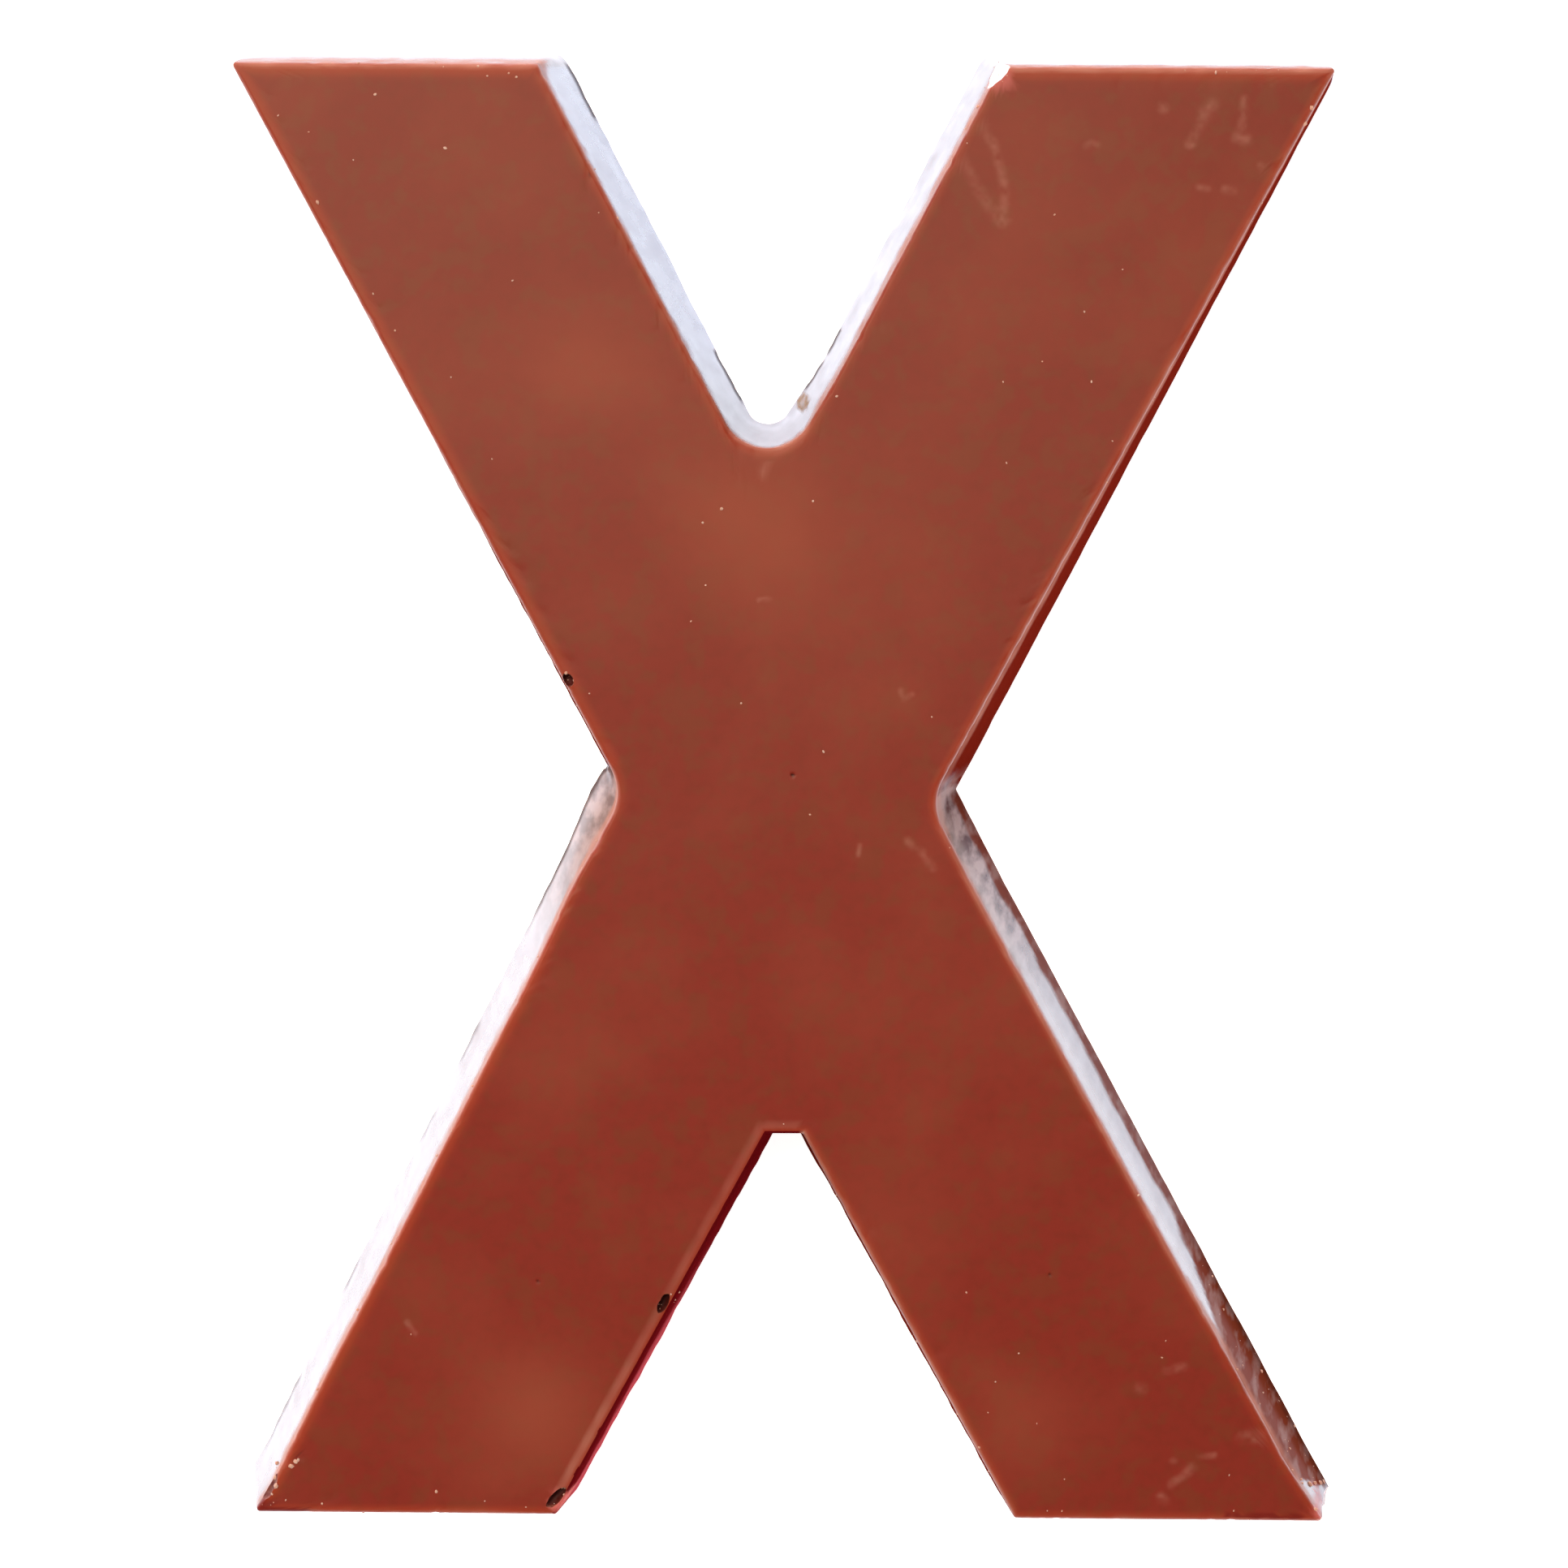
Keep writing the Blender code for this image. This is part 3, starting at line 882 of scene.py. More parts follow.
# painted highlight: the arm's chip and the crushed corner are painted almost white
place, half_lengths, _ = CHIPS["arm_corner_chip"]
off = np.linalg.norm(co - place - (0, 0, THICKNESS), axis=1)
highlit = fade(off, *(share * half_lengths[0] for share in HIGHLIGHT_REACH)) * fade(height, *HIGHLIGHT_HEIGHT)
at_corner = (x > CRUSHED_CORNER[0]) * (y < CRUSHED_CORNER[1])
keep("painted_highlight", np.maximum(highlit, CORNER_HIGHLIGHT * at_corner))
print("vertices in dark chips:", np.sum(hollow > 0.4))

# %% [markdown]
# ## The walls
#
# The walls that face the letter's top keep the mould's polish, those that face its foot are matt and
# are painted the red brown that they show in shade: painted shade. The right leg's outer wall is
# different again: below a slanting line it was **scraped**, and the scraped stripe climbs until it takes
# the whole wall, but stops short of the crushed corner. On the lower notch's left wall the brown is
# painted dark as painted shade, and low down it turns crimson. Where a wall mirrors the bright table
# beside it, its brown is painted paler or cooler as well: a painted reflection.

# %% Scraped, shaded and crimson
FOOTWARD = (-0.05, 0.35)  # of 1, how far a wall faces the foot where the polish fades and is gone
BEND_POLISHED = (3.5, 6.5)  # mm above the back, at the right waist
STRIPE_TOP, STRIPE_CLIMBS, CLIMBS_FROM = 3.0, 7.6, (-33.0, -50.0)  # mm above the back; along the letter
STRIPE_SOFT = 0.6  # mm to both sides of its border
CORNER_LINE, CORNER_LEAN = -55.6, 0.39  # mm along the letter at the face, and how it leans with depth
SCRAPED_LESS, LESS_FROM = 0.11, (-42, -32)  # the knife pressed less further up
MOTTLED_TO = (-18.0, -7.0)
CRIMSON_HEIGHT, CRIMSON_FROM = (7.0, 3.0), (-36, -48)
EDGE_LESS_DEEP, LESS_DEEP_FROM = 0.6, (0.75, 1.1)  # mm in from the edge
# painted reflection: parts of the walls are painted paler or cooler, for the bright table they mirror
COOL_STRENGTH, COOL_FROM = 0.5, (29.0, 38.0)
LEFT_REFLECTION_FROM = (8.0, -4.0)
REFLECTION_BY_RIDGE, REFLECTION_HEIGHT = 0.9, (5.0, 8.0)

footward = fade(-out_y, *FOOTWARD) * (1 - left_wall)
footward *= 1 - right_bend * fade(height, *BEND_POLISHED)
stripe_top = STRIPE_TOP + STRIPE_CLIMBS * fade(y, *CLIMBS_FROM) + uneven(3.2, 0, 0.7)
below_corner = y - CORNER_LINE + CORNER_LEAN * (THICKNESS - height) + uneven(1.0, 2, 0.3)
clean_corner = right_leg * fade(below_corner, 0.2, -0.2)
stripe = right_leg * fade(height, stripe_top + STRIPE_SOFT, stripe_top - STRIPE_SOFT) * (1 - clean_corner)
waist = np.maximum(right_leg, right_bend) * fade(y, *MOTTLED_TO)
scraped = keep("scraped", np.clip(stripe, 0, 1) * (1 - SCRAPED_LESS * fade(y, *LESS_FROM)))
# painted shade: the walls that face the foot get the red brown of shade
keep("shaded", footward * (1 - scraped) * (1 - crimson_side))
keep("crimson", crimson_side * fade(height + uneven(2.5, 4, 1.2), *CRIMSON_HEIGHT) * fade(y, *CRIMSON_FROM))
# painted shade: the lower notch's left side is painted dark, less so further in on the face
keep("deep", crimson_side * (1 - EDGE_LESS_DEEP * fade(inward, *LESS_DEEP_FROM)))
keep("mottled", np.clip(waist + left_waist, 0, 1))
# painted reflection: the upper notch's left wall cooler, the left leg's and the right leg's by its ridge
# paler
keep("cool", COOL_STRENGTH * on_side("left_arm_inner") * fade(y, *COOL_FROM))
beside_ridge = REFLECTION_BY_RIDGE * right_leg * fade(height, *REFLECTION_HEIGHT) * (1 - scraped)
keep("painted_reflection", np.maximum(left_leg * fade(y, *LEFT_REFLECTION_FROM), beside_ridge))
print("share of the vertices that are scraped: %.2f" % np.mean(scraped > 0.5))

# %% [markdown]
# ## Painted shade at the back's edge, and a stain
#
# Here and there the back's edge is painted as a thin dark line: painted shade where the wall meets the
# table. The scraped stripe on the right leg is painted darker towards the back, also painted shade. Low
# on the upper notch's right wall is a small brown stain with a paler middle.

# %% Painted shade at the back's edge, and the stain
# name: line in mm seen from above
BACK_LINES = {
    "upper_notch_left_top": [(-17.3, 59.2), (-15.6, 55.8)],
    "upper_notch_left_low": [(-5.7, 35.9), (-3.9, 32.8)],
    "upper_notch_right_low": [(2.0, 33.6), (2.8, 35.1)],
    "upper_notch_right_middle": [(3.8, 36.7), (4.3, 37.7)],
}
STAIN, STAIN_RADIUS = (1.42, 32.3), 0.74  # mm seen from above
STAIN_STRENGTH, STAIN_MIDDLE = 0.85, 0.62
STAIN_FULL, MIDDLE_FADES = 0.7, (0.1, 0.6)  # of its radius
STAIN_HEIGHTS = (0.2, 9.0)  # mm above the back
EDGE_SHADE_HEIGHT = (1.5, 0.6)  # mm above the back, where it begins and is full
EDGE_SHADE_FADES = (0.8, 0.4)  # mm to the side of its line
DARKEST = 0.85
LEG_EDGE_SHADE, WAIST_EDGE_SHADE, WAIST_EDGE_SHADE_FROM = 0.45, 0.8, (-13.0, -8.0)  # on the left
# painted shade: how much darker the scraped stripe gets towards the back, between which heights in mm
LOW_SHADE, LOW_HEIGHT = 0.30, (6.5, 1.0)
LOWEST_SHADE, LOWEST_HEIGHT = 0.35, (2.0, 0.9)
LEAST_SHADE, SHADE_FROM = 0.35, (-32, -46)  # of that, further up the leg

# painted shade: thin dark lines along the back's edge, where the wall meets the table
edge_line_shade = LEG_EDGE_SHADE * left_leg * fade(ripple(co * (1, 1, 0), 5.0, 1), 0.0, 0.4)
edge_line_shade = edge_line_shade + WAIST_EDGE_SHADE * left_leg * fade(y, *WAIST_EDGE_SHADE_FROM)
for line in BACK_LINES.values():
    off = off_line(co[:, :2], line) + uneven(0.8, 6, 0.2)
    edge_line_shade = np.maximum(edge_line_shade, DARKEST * fade(off, *EDGE_SHADE_FADES))
edge_line_shade = np.clip(edge_line_shade, 0, DARKEST) * fade(height, *EDGE_SHADE_HEIGHT)
off = np.linalg.norm(co[:, :2] - STAIN, axis=1) + uneven(0.8, 3, 0.15)
stained = fade(off, STAIN_RADIUS, STAIN_FULL * STAIN_RADIUS)
fades = [share * STAIN_RADIUS for share in MIDDLE_FADES]
stained *= STAIN_MIDDLE + (1 - STAIN_MIDDLE) * fade(off, *fades)
on_wall_only = (STAIN_HEIGHTS[0] < height) * (height < STAIN_HEIGHTS[1])
stained = keep("stained", STAIN_STRENGTH * stained * on_wall_only)
# painted shade: the scraped stripe darker towards the back
dark_band = LOW_SHADE * fade(height, *LOW_HEIGHT)
dark_band += LOWEST_SHADE * fade(height + uneven(1.5, 6, 0.5), *LOWEST_HEIGHT)
dark_band *= LEAST_SHADE + (1 - LEAST_SHADE) * fade(y, *SHADE_FROM)
keep("back_edge_shade", np.maximum(stripe * dark_band, edge_line_shade))
print("darkest burr: %.2f" % edge_line_shade.max())

# %% [markdown]
# ## How much polish is left
#
# One number says how well a wall still mirrors: 1 straight from the mould, 0 where it is scraped, rubbed,
# stained or faces the foot, and something between at the waists, where the cast was pulled as it left
# the mould.

# %% Gloss
RIGHT_WAIST_LOSS, RIGHT_BEND_LOSS, CORNER_LOSS = 0.55, 0.82, 0.12
LEFT_WAIST_LOSS, LEFT_WAIST_HIGH_LOSS = 0.50, 0.42  # low on the wall, and how much more high up
LEFT_WAIST_HEIGHT = (2.0, 7.0)
SCRAPED_LOSS, SCRAPED_LOW_LOSS = 0.92, 0.08  # high on the wall, and how much more low down
SCRAPED_HEIGHT = (6.0, 3.0)

scraped_loss = SCRAPED_LOSS + SCRAPED_LOW_LOSS * fade(height, *SCRAPED_HEIGHT)
gloss = (1 - footward) * (1 - scraped * scraped_loss)
kept_on_right = (1 - RIGHT_WAIST_LOSS * waist) * (1 - RIGHT_BEND_LOSS * right_bend)
gloss *= kept_on_right * (1 - CORNER_LOSS * clean_corner)
left_waist_loss = LEFT_WAIST_LOSS + LEFT_WAIST_HIGH_LOSS * fade(height, *LEFT_WAIST_HEIGHT)
gloss *= 1 - left_waist * left_waist_loss
gloss *= (1 - pink) * (1 - edge_line_shade) * (1 - stained) * (1 - np.clip(ridge, 0, 1))
keep("gloss", gloss)
print("share of the vertices that are glossy: %.2f" % np.mean(gloss > 0.5))

# %% [markdown]
# ## Milk chocolate
#
# Milk chocolate is cocoa, sugar and milk solids in cocoa butter. Cast in a smooth mould it sets with a
# satin shine: light enters a little way, so it glows slightly at thin edges, and the cocoa butter on
# top mirrors at low angles. The shader follows that: a brown base, some subsurface scattering, an IOR
# near that of cocoa butter and a roughness that is low on the walls and higher on the worn face.

# %% Two helpers for materials
def linear(code):
    """An sRGB hex colour as the linear values that Blender's sockets take."""
    channels = [int(code[i : i + 2], 16) / 255 for i in (1, 3, 5)]
    return [c / 12.92 if c <= 0.04045 else ((c + 0.055) / 1.055) ** 2.4 for c in channels] + [1.0]


def add(tree, kind, settings=None, give=0, **inputs):
    """Adds a node with its settings, fills its inputs with values or other nodes' outputs, and returns
    one of its outputs. An input goes by its name, or by its number after an i where names repeat."""
    node = tree.nodes.new(kind)
    for name, value in (settings or {}).items():
        setattr(node, name, value)
    for name, value in inputs.items():
        numbered = name[0] == "i" and name[1:].isdigit()
        socket = node.inputs[int(name[1:]) if numbered else name.replace("_", " ")]
        if isinstance(value, bpy.types.NodeSocket):
            tree.links.new(value, socket)
        else:
            socket.default_value = value
    return node.outputs[give]


TIMES = {"operation": "MULTIPLY"}
MIX_COLOURS = {"data_type": "RGBA"}
print("a warm brown in linear values:", [round(c, 3) for c in linear("#7B2518")[:3]])

# %% [markdown]
# ## The satin face
#
# The face is **milk chocolate cast against a smooth mould and then handled**. To the eye it is a warm
# red brown with a satin sheen, a little paler in soft clouds where the cocoa butter has dulled. Light
# and shade are painted into that colour too: the far end is painted less red, a painted sheen of the
# window's light; the rim is painted redder, a painted glow of light leaving the edge; the pale ridge is
# partly rubbed and partly a painted highlight; the pits and the feet's edges are painted dark, painted
# shade. A dielectric with the IOR of cocoa butter, 1.47, and a middling roughness gives that. A short
# subsurface radius softens it, as the fat in chocolate does, and an orange peel of very low waves, 0.8
# mm long, breaks up what the face mirrors.

# %% The face's material
FACE_BROWN = "#7B2518"
CLOUD_BROWN = "#8A3C28"
GRAIN_BROWN = "#6E2413"
# painted glow of the rim, where light leaves at the edge
RIM_BROWN = "#A83E20"
# pale: the ridge on face and walls, rubbed and painted highlight; also the break's grain
RIDGE_BROWN = "#B67866"
SCUFF_BROWN = "#B07866"
# painted shade in the pits
PIT_SHADE_BROWN = "#3A0F08"
OLIVE_BROWN = "#6C331A"
# painted sheen: the far end is painted less red, for the sheen of the window's light on it
FAR_SHEEN_BROWN = "#752315"
PINK_BROWN = "#D06C66"
# painted shade along the feet's edges
FOOT_EDGE_SHADE_BROWN = "#68120C"
CLOUD_SIZE, OLIVE_SIZE, GRAIN_SIZE, PEEL_SIZE = 13.0, 1.8, 1.0, 0.8  # mm
FAR_FROM, FAR_FULL = -20.0, 50.0  # mm along the letter, where the less red far end begins and is full
RIM_SHARE, SCUFF_SHARE, RIDGE_SHARE = 0.6, 0.55, 0.75


def start_material(material, values):
    """Turns nodes on, sets the shader's own sockets, and gives back the tree and the shader."""
    material.use_nodes = True
    shader = material.node_tree.nodes["Principled BSDF"]
    for name, value in values.items():
        shader.inputs[name].default_value = value
    return material.node_tree, shader


CHOCOLATE = {
    "IOR": 1.47,
    "Roughness": 0.5,
    "Subsurface Weight": 0.12,
    "Subsurface Radius": (1.0, 0.35, 0.2),
    "Subsurface Scale": 1.0 * MM,
}


def satin_face(material):
    tree, shader = start_material(material, CHOCOLATE)
    place = add(tree, "ShaderNodeTexCoord", give="Object")
    clouds = add(tree, "ShaderNodeTexNoise", Vector=place, Scale=1 / (CLOUD_SIZE * MM), Detail=3.0)
    clouds = add(tree, "ShaderNodeMapRange", Value=clouds, From_Min=0.45, From_Max=0.75, To_Max=0.35)
    grain = add(tree, "ShaderNodeTexNoise", Vector=place, Scale=1 / (GRAIN_SIZE * MM), Detail=2.0)
    grain = add(tree, "ShaderNodeMapRange", Value=grain, From_Min=0.45, From_Max=0.75, To_Max=0.5)
    olive = add(tree, "ShaderNodeTexNoise", Vector=place, Scale=1 / (OLIVE_SIZE * MM), Detail=4.0)
    olive = add(tree, "ShaderNodeMapRange", Value=olive, From_Min=0.48, From_Max=0.62, To_Max=0.42)
    rim, scuff, bubble, ridge_wear_and_highlight, cloud, rubbed_pink, foot_shade = [
        add(tree, "ShaderNodeAttribute", {"attribute_name": name}, give="Fac")
        for name in ("rim", "scuff", "bubble", "ridge", "cloud", "pink", "foot_edge_shade")
    ]
    clouds = add(tree, "ShaderNodeMath", {"operation": "ADD", "use_clamp": True}, i0=clouds, i1=cloud)
    rim = add(tree, "ShaderNodeMath", TIMES, i0=rim, i1=RIM_SHARE)
    scuff = add(tree, "ShaderNodeMath", TIMES, i0=scuff, i1=SCUFF_SHARE)
    pale_ridge = add(tree, "ShaderNodeMath", TIMES, i0=ridge_wear_and_highlight, i1=RIDGE_SHARE)
    far = add(tree, "ShaderNodeSeparateXYZ", give="Y", Vector=place)
    far = add(tree, "ShaderNodeMapRange", Value=far, From_Min=FAR_FROM * MM, From_Max=FAR_FULL * MM)
    layers = [
        (far, FAR_SHEEN_BROWN),
        (grain, GRAIN_BROWN),
        (olive, OLIVE_BROWN),
        (clouds, CLOUD_BROWN),
        (rim, RIM_BROWN),
        (scuff, SCUFF_BROWN),
        (bubble, PIT_SHADE_BROWN),
        (pale_ridge, RIDGE_BROWN),
        (rubbed_pink, PINK_BROWN),
        (foot_shade, FOOT_EDGE_SHADE_BROWN),
    ]
    colour = linear(FACE_BROWN)
    for share, above in layers:
        colour = add(tree, "ShaderNodeMix", MIX_COLOURS, give=2, i0=share, i6=colour, i7=linear(above))
    tree.links.new(colour, shader.inputs["Base Color"])
    rough = add(tree, "ShaderNodeMapRange", Value=clouds, From_Max=0.8, To_Min=0.30, To_Max=0.38)
    rough = add(tree, "ShaderNodeMath", {"operation": "MULTIPLY_ADD"}, i0=ridge_wear_and_highlight, i1=0.2, i2=rough)
    tree.links.new(rough, shader.inputs["Roughness"])
    peel = add(tree, "ShaderNodeTexNoise", Vector=place, Scale=1 / (PEEL_SIZE * MM), Detail=2.0)
    bump = add(tree, "ShaderNodeBump", Strength=0.25, Distance=0.03 * MM, Height=peel)
    tree.links.new(bump, shader.inputs["Normal"])


satin_face(face_skin)
print("the face's shader:", len(face_skin.node_tree.nodes), "nodes")

# %% [markdown]
# ## The polished sides
#
# The sides are **the same chocolate, cast against the mould's polished walls**. Seen from above they are
# looked at along their surface, so they mirror the bright table beside them almost like glass, and the
# chocolate's own brown hardly shows. A clear coat carries that polish: its weight comes from the
# attribute gloss, so that the mirror fades where the wall is scraped or faces the foot of the letter,
# and the matt chocolate under it has no mirror of its own. Light and shade are painted into the base
# colour as well: paler or cooler where a wall mirrors the bright table, a painted reflection; the red
# brown of shade on the walls that face the foot, and darker brown along the back's edge, painted shade.

# %% The sides' material
WALL_BROWN = "#4A140C"
# painted shade on the walls that face the foot
SHADED_BROWN = "#66180D"
# painted shade on the lower notch's left side
DEEP_BROWN = "#58090D"
CRIMSON_BROWN = "#A03C42"
SCRAPED_BROWN = "#722D1B"
# painted shade along the back's edge
BACK_EDGE_SHADE_BROWN = "#2E140A"
# painted reflection of the bright table, and a cooler one of its skylit part
PALE_REFLECTION = "#7A6058"
COOL_REFLECTION = "#7A7A90"
STAIN_BROWN = "#8A6440"
MOTTLE_BROWN = "#A88880"
MOTTLE_SIZE = 1.5  # mm
MOTTLE_STRETCH = 3.5  # times as long up the wall as along it, as the mould left it
WALL_RIDGE_SHARE = 0.9


def polished_side(material):
    coated = {"Specular IOR Level": 0.0, "Coat Roughness": 0.10, "Coat IOR": 1.6}
    tree, shader = start_material(material, CHOCOLATE | coated)
    place = add(tree, "ShaderNodeTexCoord", give="Object")
    shaded, deep, crimson, painted_reflection, cool, scraped, back_edge_shade, mottled = [
        add(tree, "ShaderNodeAttribute", {"attribute_name": name}, give="Fac")
        for name in ("shaded", "deep", "crimson", "painted_reflection", "cool", "scraped", "back_edge_shade", "mottled")
    ]
    ridge, pink, stained, gloss = [
        add(tree, "ShaderNodeAttribute", {"attribute_name": name}, give="Fac")
        for name in ("ridge", "pink", "stained", "gloss")
    ]
    drawn = add(tree, "ShaderNodeVectorMath", TIMES, i0=place, i1=(1, 1, 1 / MOTTLE_STRETCH))
    mottle = add(tree, "ShaderNodeTexNoise", Vector=drawn, Scale=1 / (MOTTLE_SIZE * MM), Detail=3.0)
    pale = add(tree, "ShaderNodeMapRange", Value=mottle, From_Min=0.38, From_Max=0.62, To_Max=0.8)
    pale = add(tree, "ShaderNodeMath", TIMES, i0=pale, i1=mottled)
    flecked = add(tree, "ShaderNodeMapRange", Value=mottle, From_Min=0.46, From_Max=0.64, To_Max=0.4)
    flecked = add(tree, "ShaderNodeMath", TIMES, i0=flecked, i1=scraped)
    ridge = add(tree, "ShaderNodeMath", TIMES, i0=ridge, i1=WALL_RIDGE_SHARE)
    layers = [
        (shaded, SHADED_BROWN),
        (deep, DEEP_BROWN),
        (crimson, CRIMSON_BROWN),
        (painted_reflection, PALE_REFLECTION),
        (cool, COOL_REFLECTION),
        (pale, MOTTLE_BROWN),
        (scraped, SCRAPED_BROWN),
        (flecked, MOTTLE_BROWN),
        (back_edge_shade, BACK_EDGE_SHADE_BROWN),
        (stained, STAIN_BROWN),
        (ridge, RIDGE_BROWN),
        (pink, PINK_BROWN),
    ]
    colour = linear(WALL_BROWN)
    for share, above in layers:
        colour = add(tree, "ShaderNodeMix", MIX_COLOURS, give=2, i0=share, i6=colour, i7=linear(above))
    tree.links.new(colour, shader.inputs["Base Color"])
    kept = add(tree, "ShaderNodeMapRange", Value=mottle, From_Min=0.3, From_Max=0.6, To_Min=0.90, To_Max=1.0)
    polish = add(tree, "ShaderNodeMath", TIMES, i0=gloss, i1=kept)
    tree.links.new(polish, shader.inputs["Coat Weight"])
    peel = add(tree, "ShaderNodeTexNoise", Vector=place, Scale=1 / (PEEL_SIZE * MM), Detail=2.0)
    bump = add(tree, "ShaderNodeBump", Strength=0.2, Distance=0.02 * MM, Height=peel)
    tree.links.new(bump, shader.inputs["Normal"])
    tree.links.new(bump, shader.inputs["Coat Normal"])


polished_side(wall_skin)
print("the walls' shader:", len(wall_skin.node_tree.nodes), "nodes")

# %% [markdown]
# ## The broken surface
#
# Where a piece has snapped off, the chocolate is **fractured, not moulded**: no smooth wall pressed it,
# so it is paler, matt and granular. The sugar and milk in it are ground to a few hundredths of a
# millimetre, too fine to show, so the grain is drawn as coarse as it needs to be: half a millimetre.

# %% The break's material
FRESH_BREAK = "#70291A"
SHADOW_BROWN = "#3A0808"
# painted highlight on the arm's chip and the crushed corner
HIGHLIGHT_WHITE = "#E6DBDA"
GRAIN_OF_BREAK = 0.5  # mm


def broken_surface(material):
    tree, shader = start_material(material, CHOCOLATE | {"Roughness": 0.6})
    place = add(tree, "ShaderNodeTexCoord", give="Object")
    grain = add(tree, "ShaderNodeTexNoise", Vector=place, Scale=1 / (GRAIN_OF_BREAK * MM), Detail=3.0)
    grain = add(tree, "ShaderNodeMapRange", Value=grain, From_Min=0.42, From_Max=0.75, To_Max=0.7)
    hollow, painted_highlight = [
        add(tree, "ShaderNodeAttribute", {"attribute_name": name}, give="Fac")
        for name in ("hollow", "painted_highlight")
    ]
    colour = linear(FRESH_BREAK)
    for share, above in ((grain, RIDGE_BROWN), (hollow, SHADOW_BROWN), (painted_highlight, HIGHLIGHT_WHITE)):
        colour = add(tree, "ShaderNodeMix", MIX_COLOURS, give=2, i0=share, i6=colour, i7=linear(above))
    tree.links.new(colour, shader.inputs["Base Color"])


broken_surface(broken)
print("the break's shader:", len(broken.node_tree.nodes), "nodes")

# %% [markdown]
# ## The scraped back
#
# The back was the open top of the mould, **scraped level with a knife** and left to set against the air.
# So it is matt and even, with faint streaks along the knife's way, and it takes nothing of the polish of
# the walls beside it. Noise stretched along the letter gives the streaks.

# %% The back's material
BACK_BROWN = "#742617"
STREAK_BROWN = "#8A4632"
STREAK_WIDTH = 1.2  # mm
STREAK_STRETCH = 14.0  # times as long as wide


def scraped_back(material):
    tree, shader = start_material(material, CHOCOLATE | {"Roughness": 0.6})
    place = add(tree, "ShaderNodeTexCoord", give="Object")
    drawn = add(tree, "ShaderNodeVectorMath", TIMES, i0=place, i1=(1, 1 / STREAK_STRETCH, 1))
    streaks = add(tree, "ShaderNodeTexNoise", Vector=drawn, Scale=1 / (STREAK_WIDTH * MM), Detail=3.0)
    pale = add(tree, "ShaderNodeMapRange", Value=streaks, From_Min=0.45, From_Max=0.75, To_Max=0.45)
    browns = {"i6": linear(BACK_BROWN), "i7": linear(STREAK_BROWN)}
    colour = add(tree, "ShaderNodeMix", MIX_COLOURS, give=2, i0=pale, **browns)
    tree.links.new(colour, shader.inputs["Base Color"])
    bump = add(tree, "ShaderNodeBump", Strength=0.3, Distance=0.03 * MM, Height=streaks)
    tree.links.new(bump, shader.inputs["Normal"])


scraped_back(back_skin)
print("the back's shader:", len(back_skin.node_tree.nodes), "nodes")

# %% [markdown]
# ## Crumbs and specks
#
# Handled chocolate sheds crumbs no wider than a grain of sugar, and some cling to it: on the rubbed
# ridges, round the chips, and here and there on the face. Particles would do, but what they make is
# lost on export, so a Geometry Nodes tree puts a small faceted ball on each of many points, squashes
# and turns each its own way, pushes its corners about, and makes it all one real mesh. Its inputs have
# names, so the same tree serves for the strewn crumbs and for the specks that lie at known places.

# %% The crumbs' material
CRUMB_BROWN = "#C08A76"
SPECK_BROWN = "#C79C8C"

crumb_skin = bpy.data.materials.new("crumbled_milk_chocolate")
crumb_tree, crumb_shader = start_material(crumb_skin, CHOCOLATE | {"Roughness": 0.7})
place = add(crumb_tree, "ShaderNodeTexCoord", give="Object")
tint = add(crumb_tree, "ShaderNodeTexNoise", Vector=place, Scale=1 / (GRAIN_SIZE * MM), Detail=0.0)
tint = add(crumb_tree, "ShaderNodeMapRange", Value=tint, From_Min=0.4, From_Max=0.6)
browns = {"i6": linear(CRUMB_BROWN), "i7": linear(SPECK_BROWN)}
tint = add(crumb_tree, "ShaderNodeMix", MIX_COLOURS, give=2, i0=tint, **browns)
crumb_tree.links.new(tint, crumb_shader.inputs["Base Color"])
print("the crumbs' shader:", len(crumb_tree.nodes), "nodes")

# %% [markdown]
# A Geometry Nodes tree is like a function: what may differ from one lot of crumbs to the next is an
# input with a name, and everything else stays inside.

# %% The crumb tree and its inputs
crumbs = bpy.data.node_groups.new("crumbs_on_points", "GeometryNodeTree")
crumbs.interface.new_socket("Geometry", in_out="INPUT", socket_type="NodeSocketGeometry")
CRUMB_INPUTS = {
    "Crumbs per Square Metre": "NodeSocketFloat",
    "Smallest Radius": "NodeSocketFloat",
    "Largest Radius": "NodeSocketFloat",
    "Raggedness": "NodeSocketFloat",
    "Seed": "NodeSocketInt",
    "Chocolate": "NodeSocketMaterial",
}
crumb_input_ids = {
    name: crumbs.interface.new_socket(name, in_out="INPUT", socket_type=kind).identifier
    for name, kind in CRUMB_INPUTS.items()
}
crumbs.interface.new_socket("Geometry", in_out="OUTPUT", socket_type="NodeSocketGeometry")
given = crumbs.nodes.new("NodeGroupInput").outputs
print("inputs of the crumb tree:", ", ".join(CRUMB_INPUTS))

# %% [markdown]
# On a mesh with faces the points are strewn, as thickly as its attribute "crumbly" says. On a mesh of
# loose vertices each vertex is a point.

# %% Points for the crumbs
FLOAT, RANDOM_VECTOR = {"data_type": "FLOAT"}, {"data_type": "FLOAT_VECTOR"}
base, seed = given["Geometry"], given["Seed"]

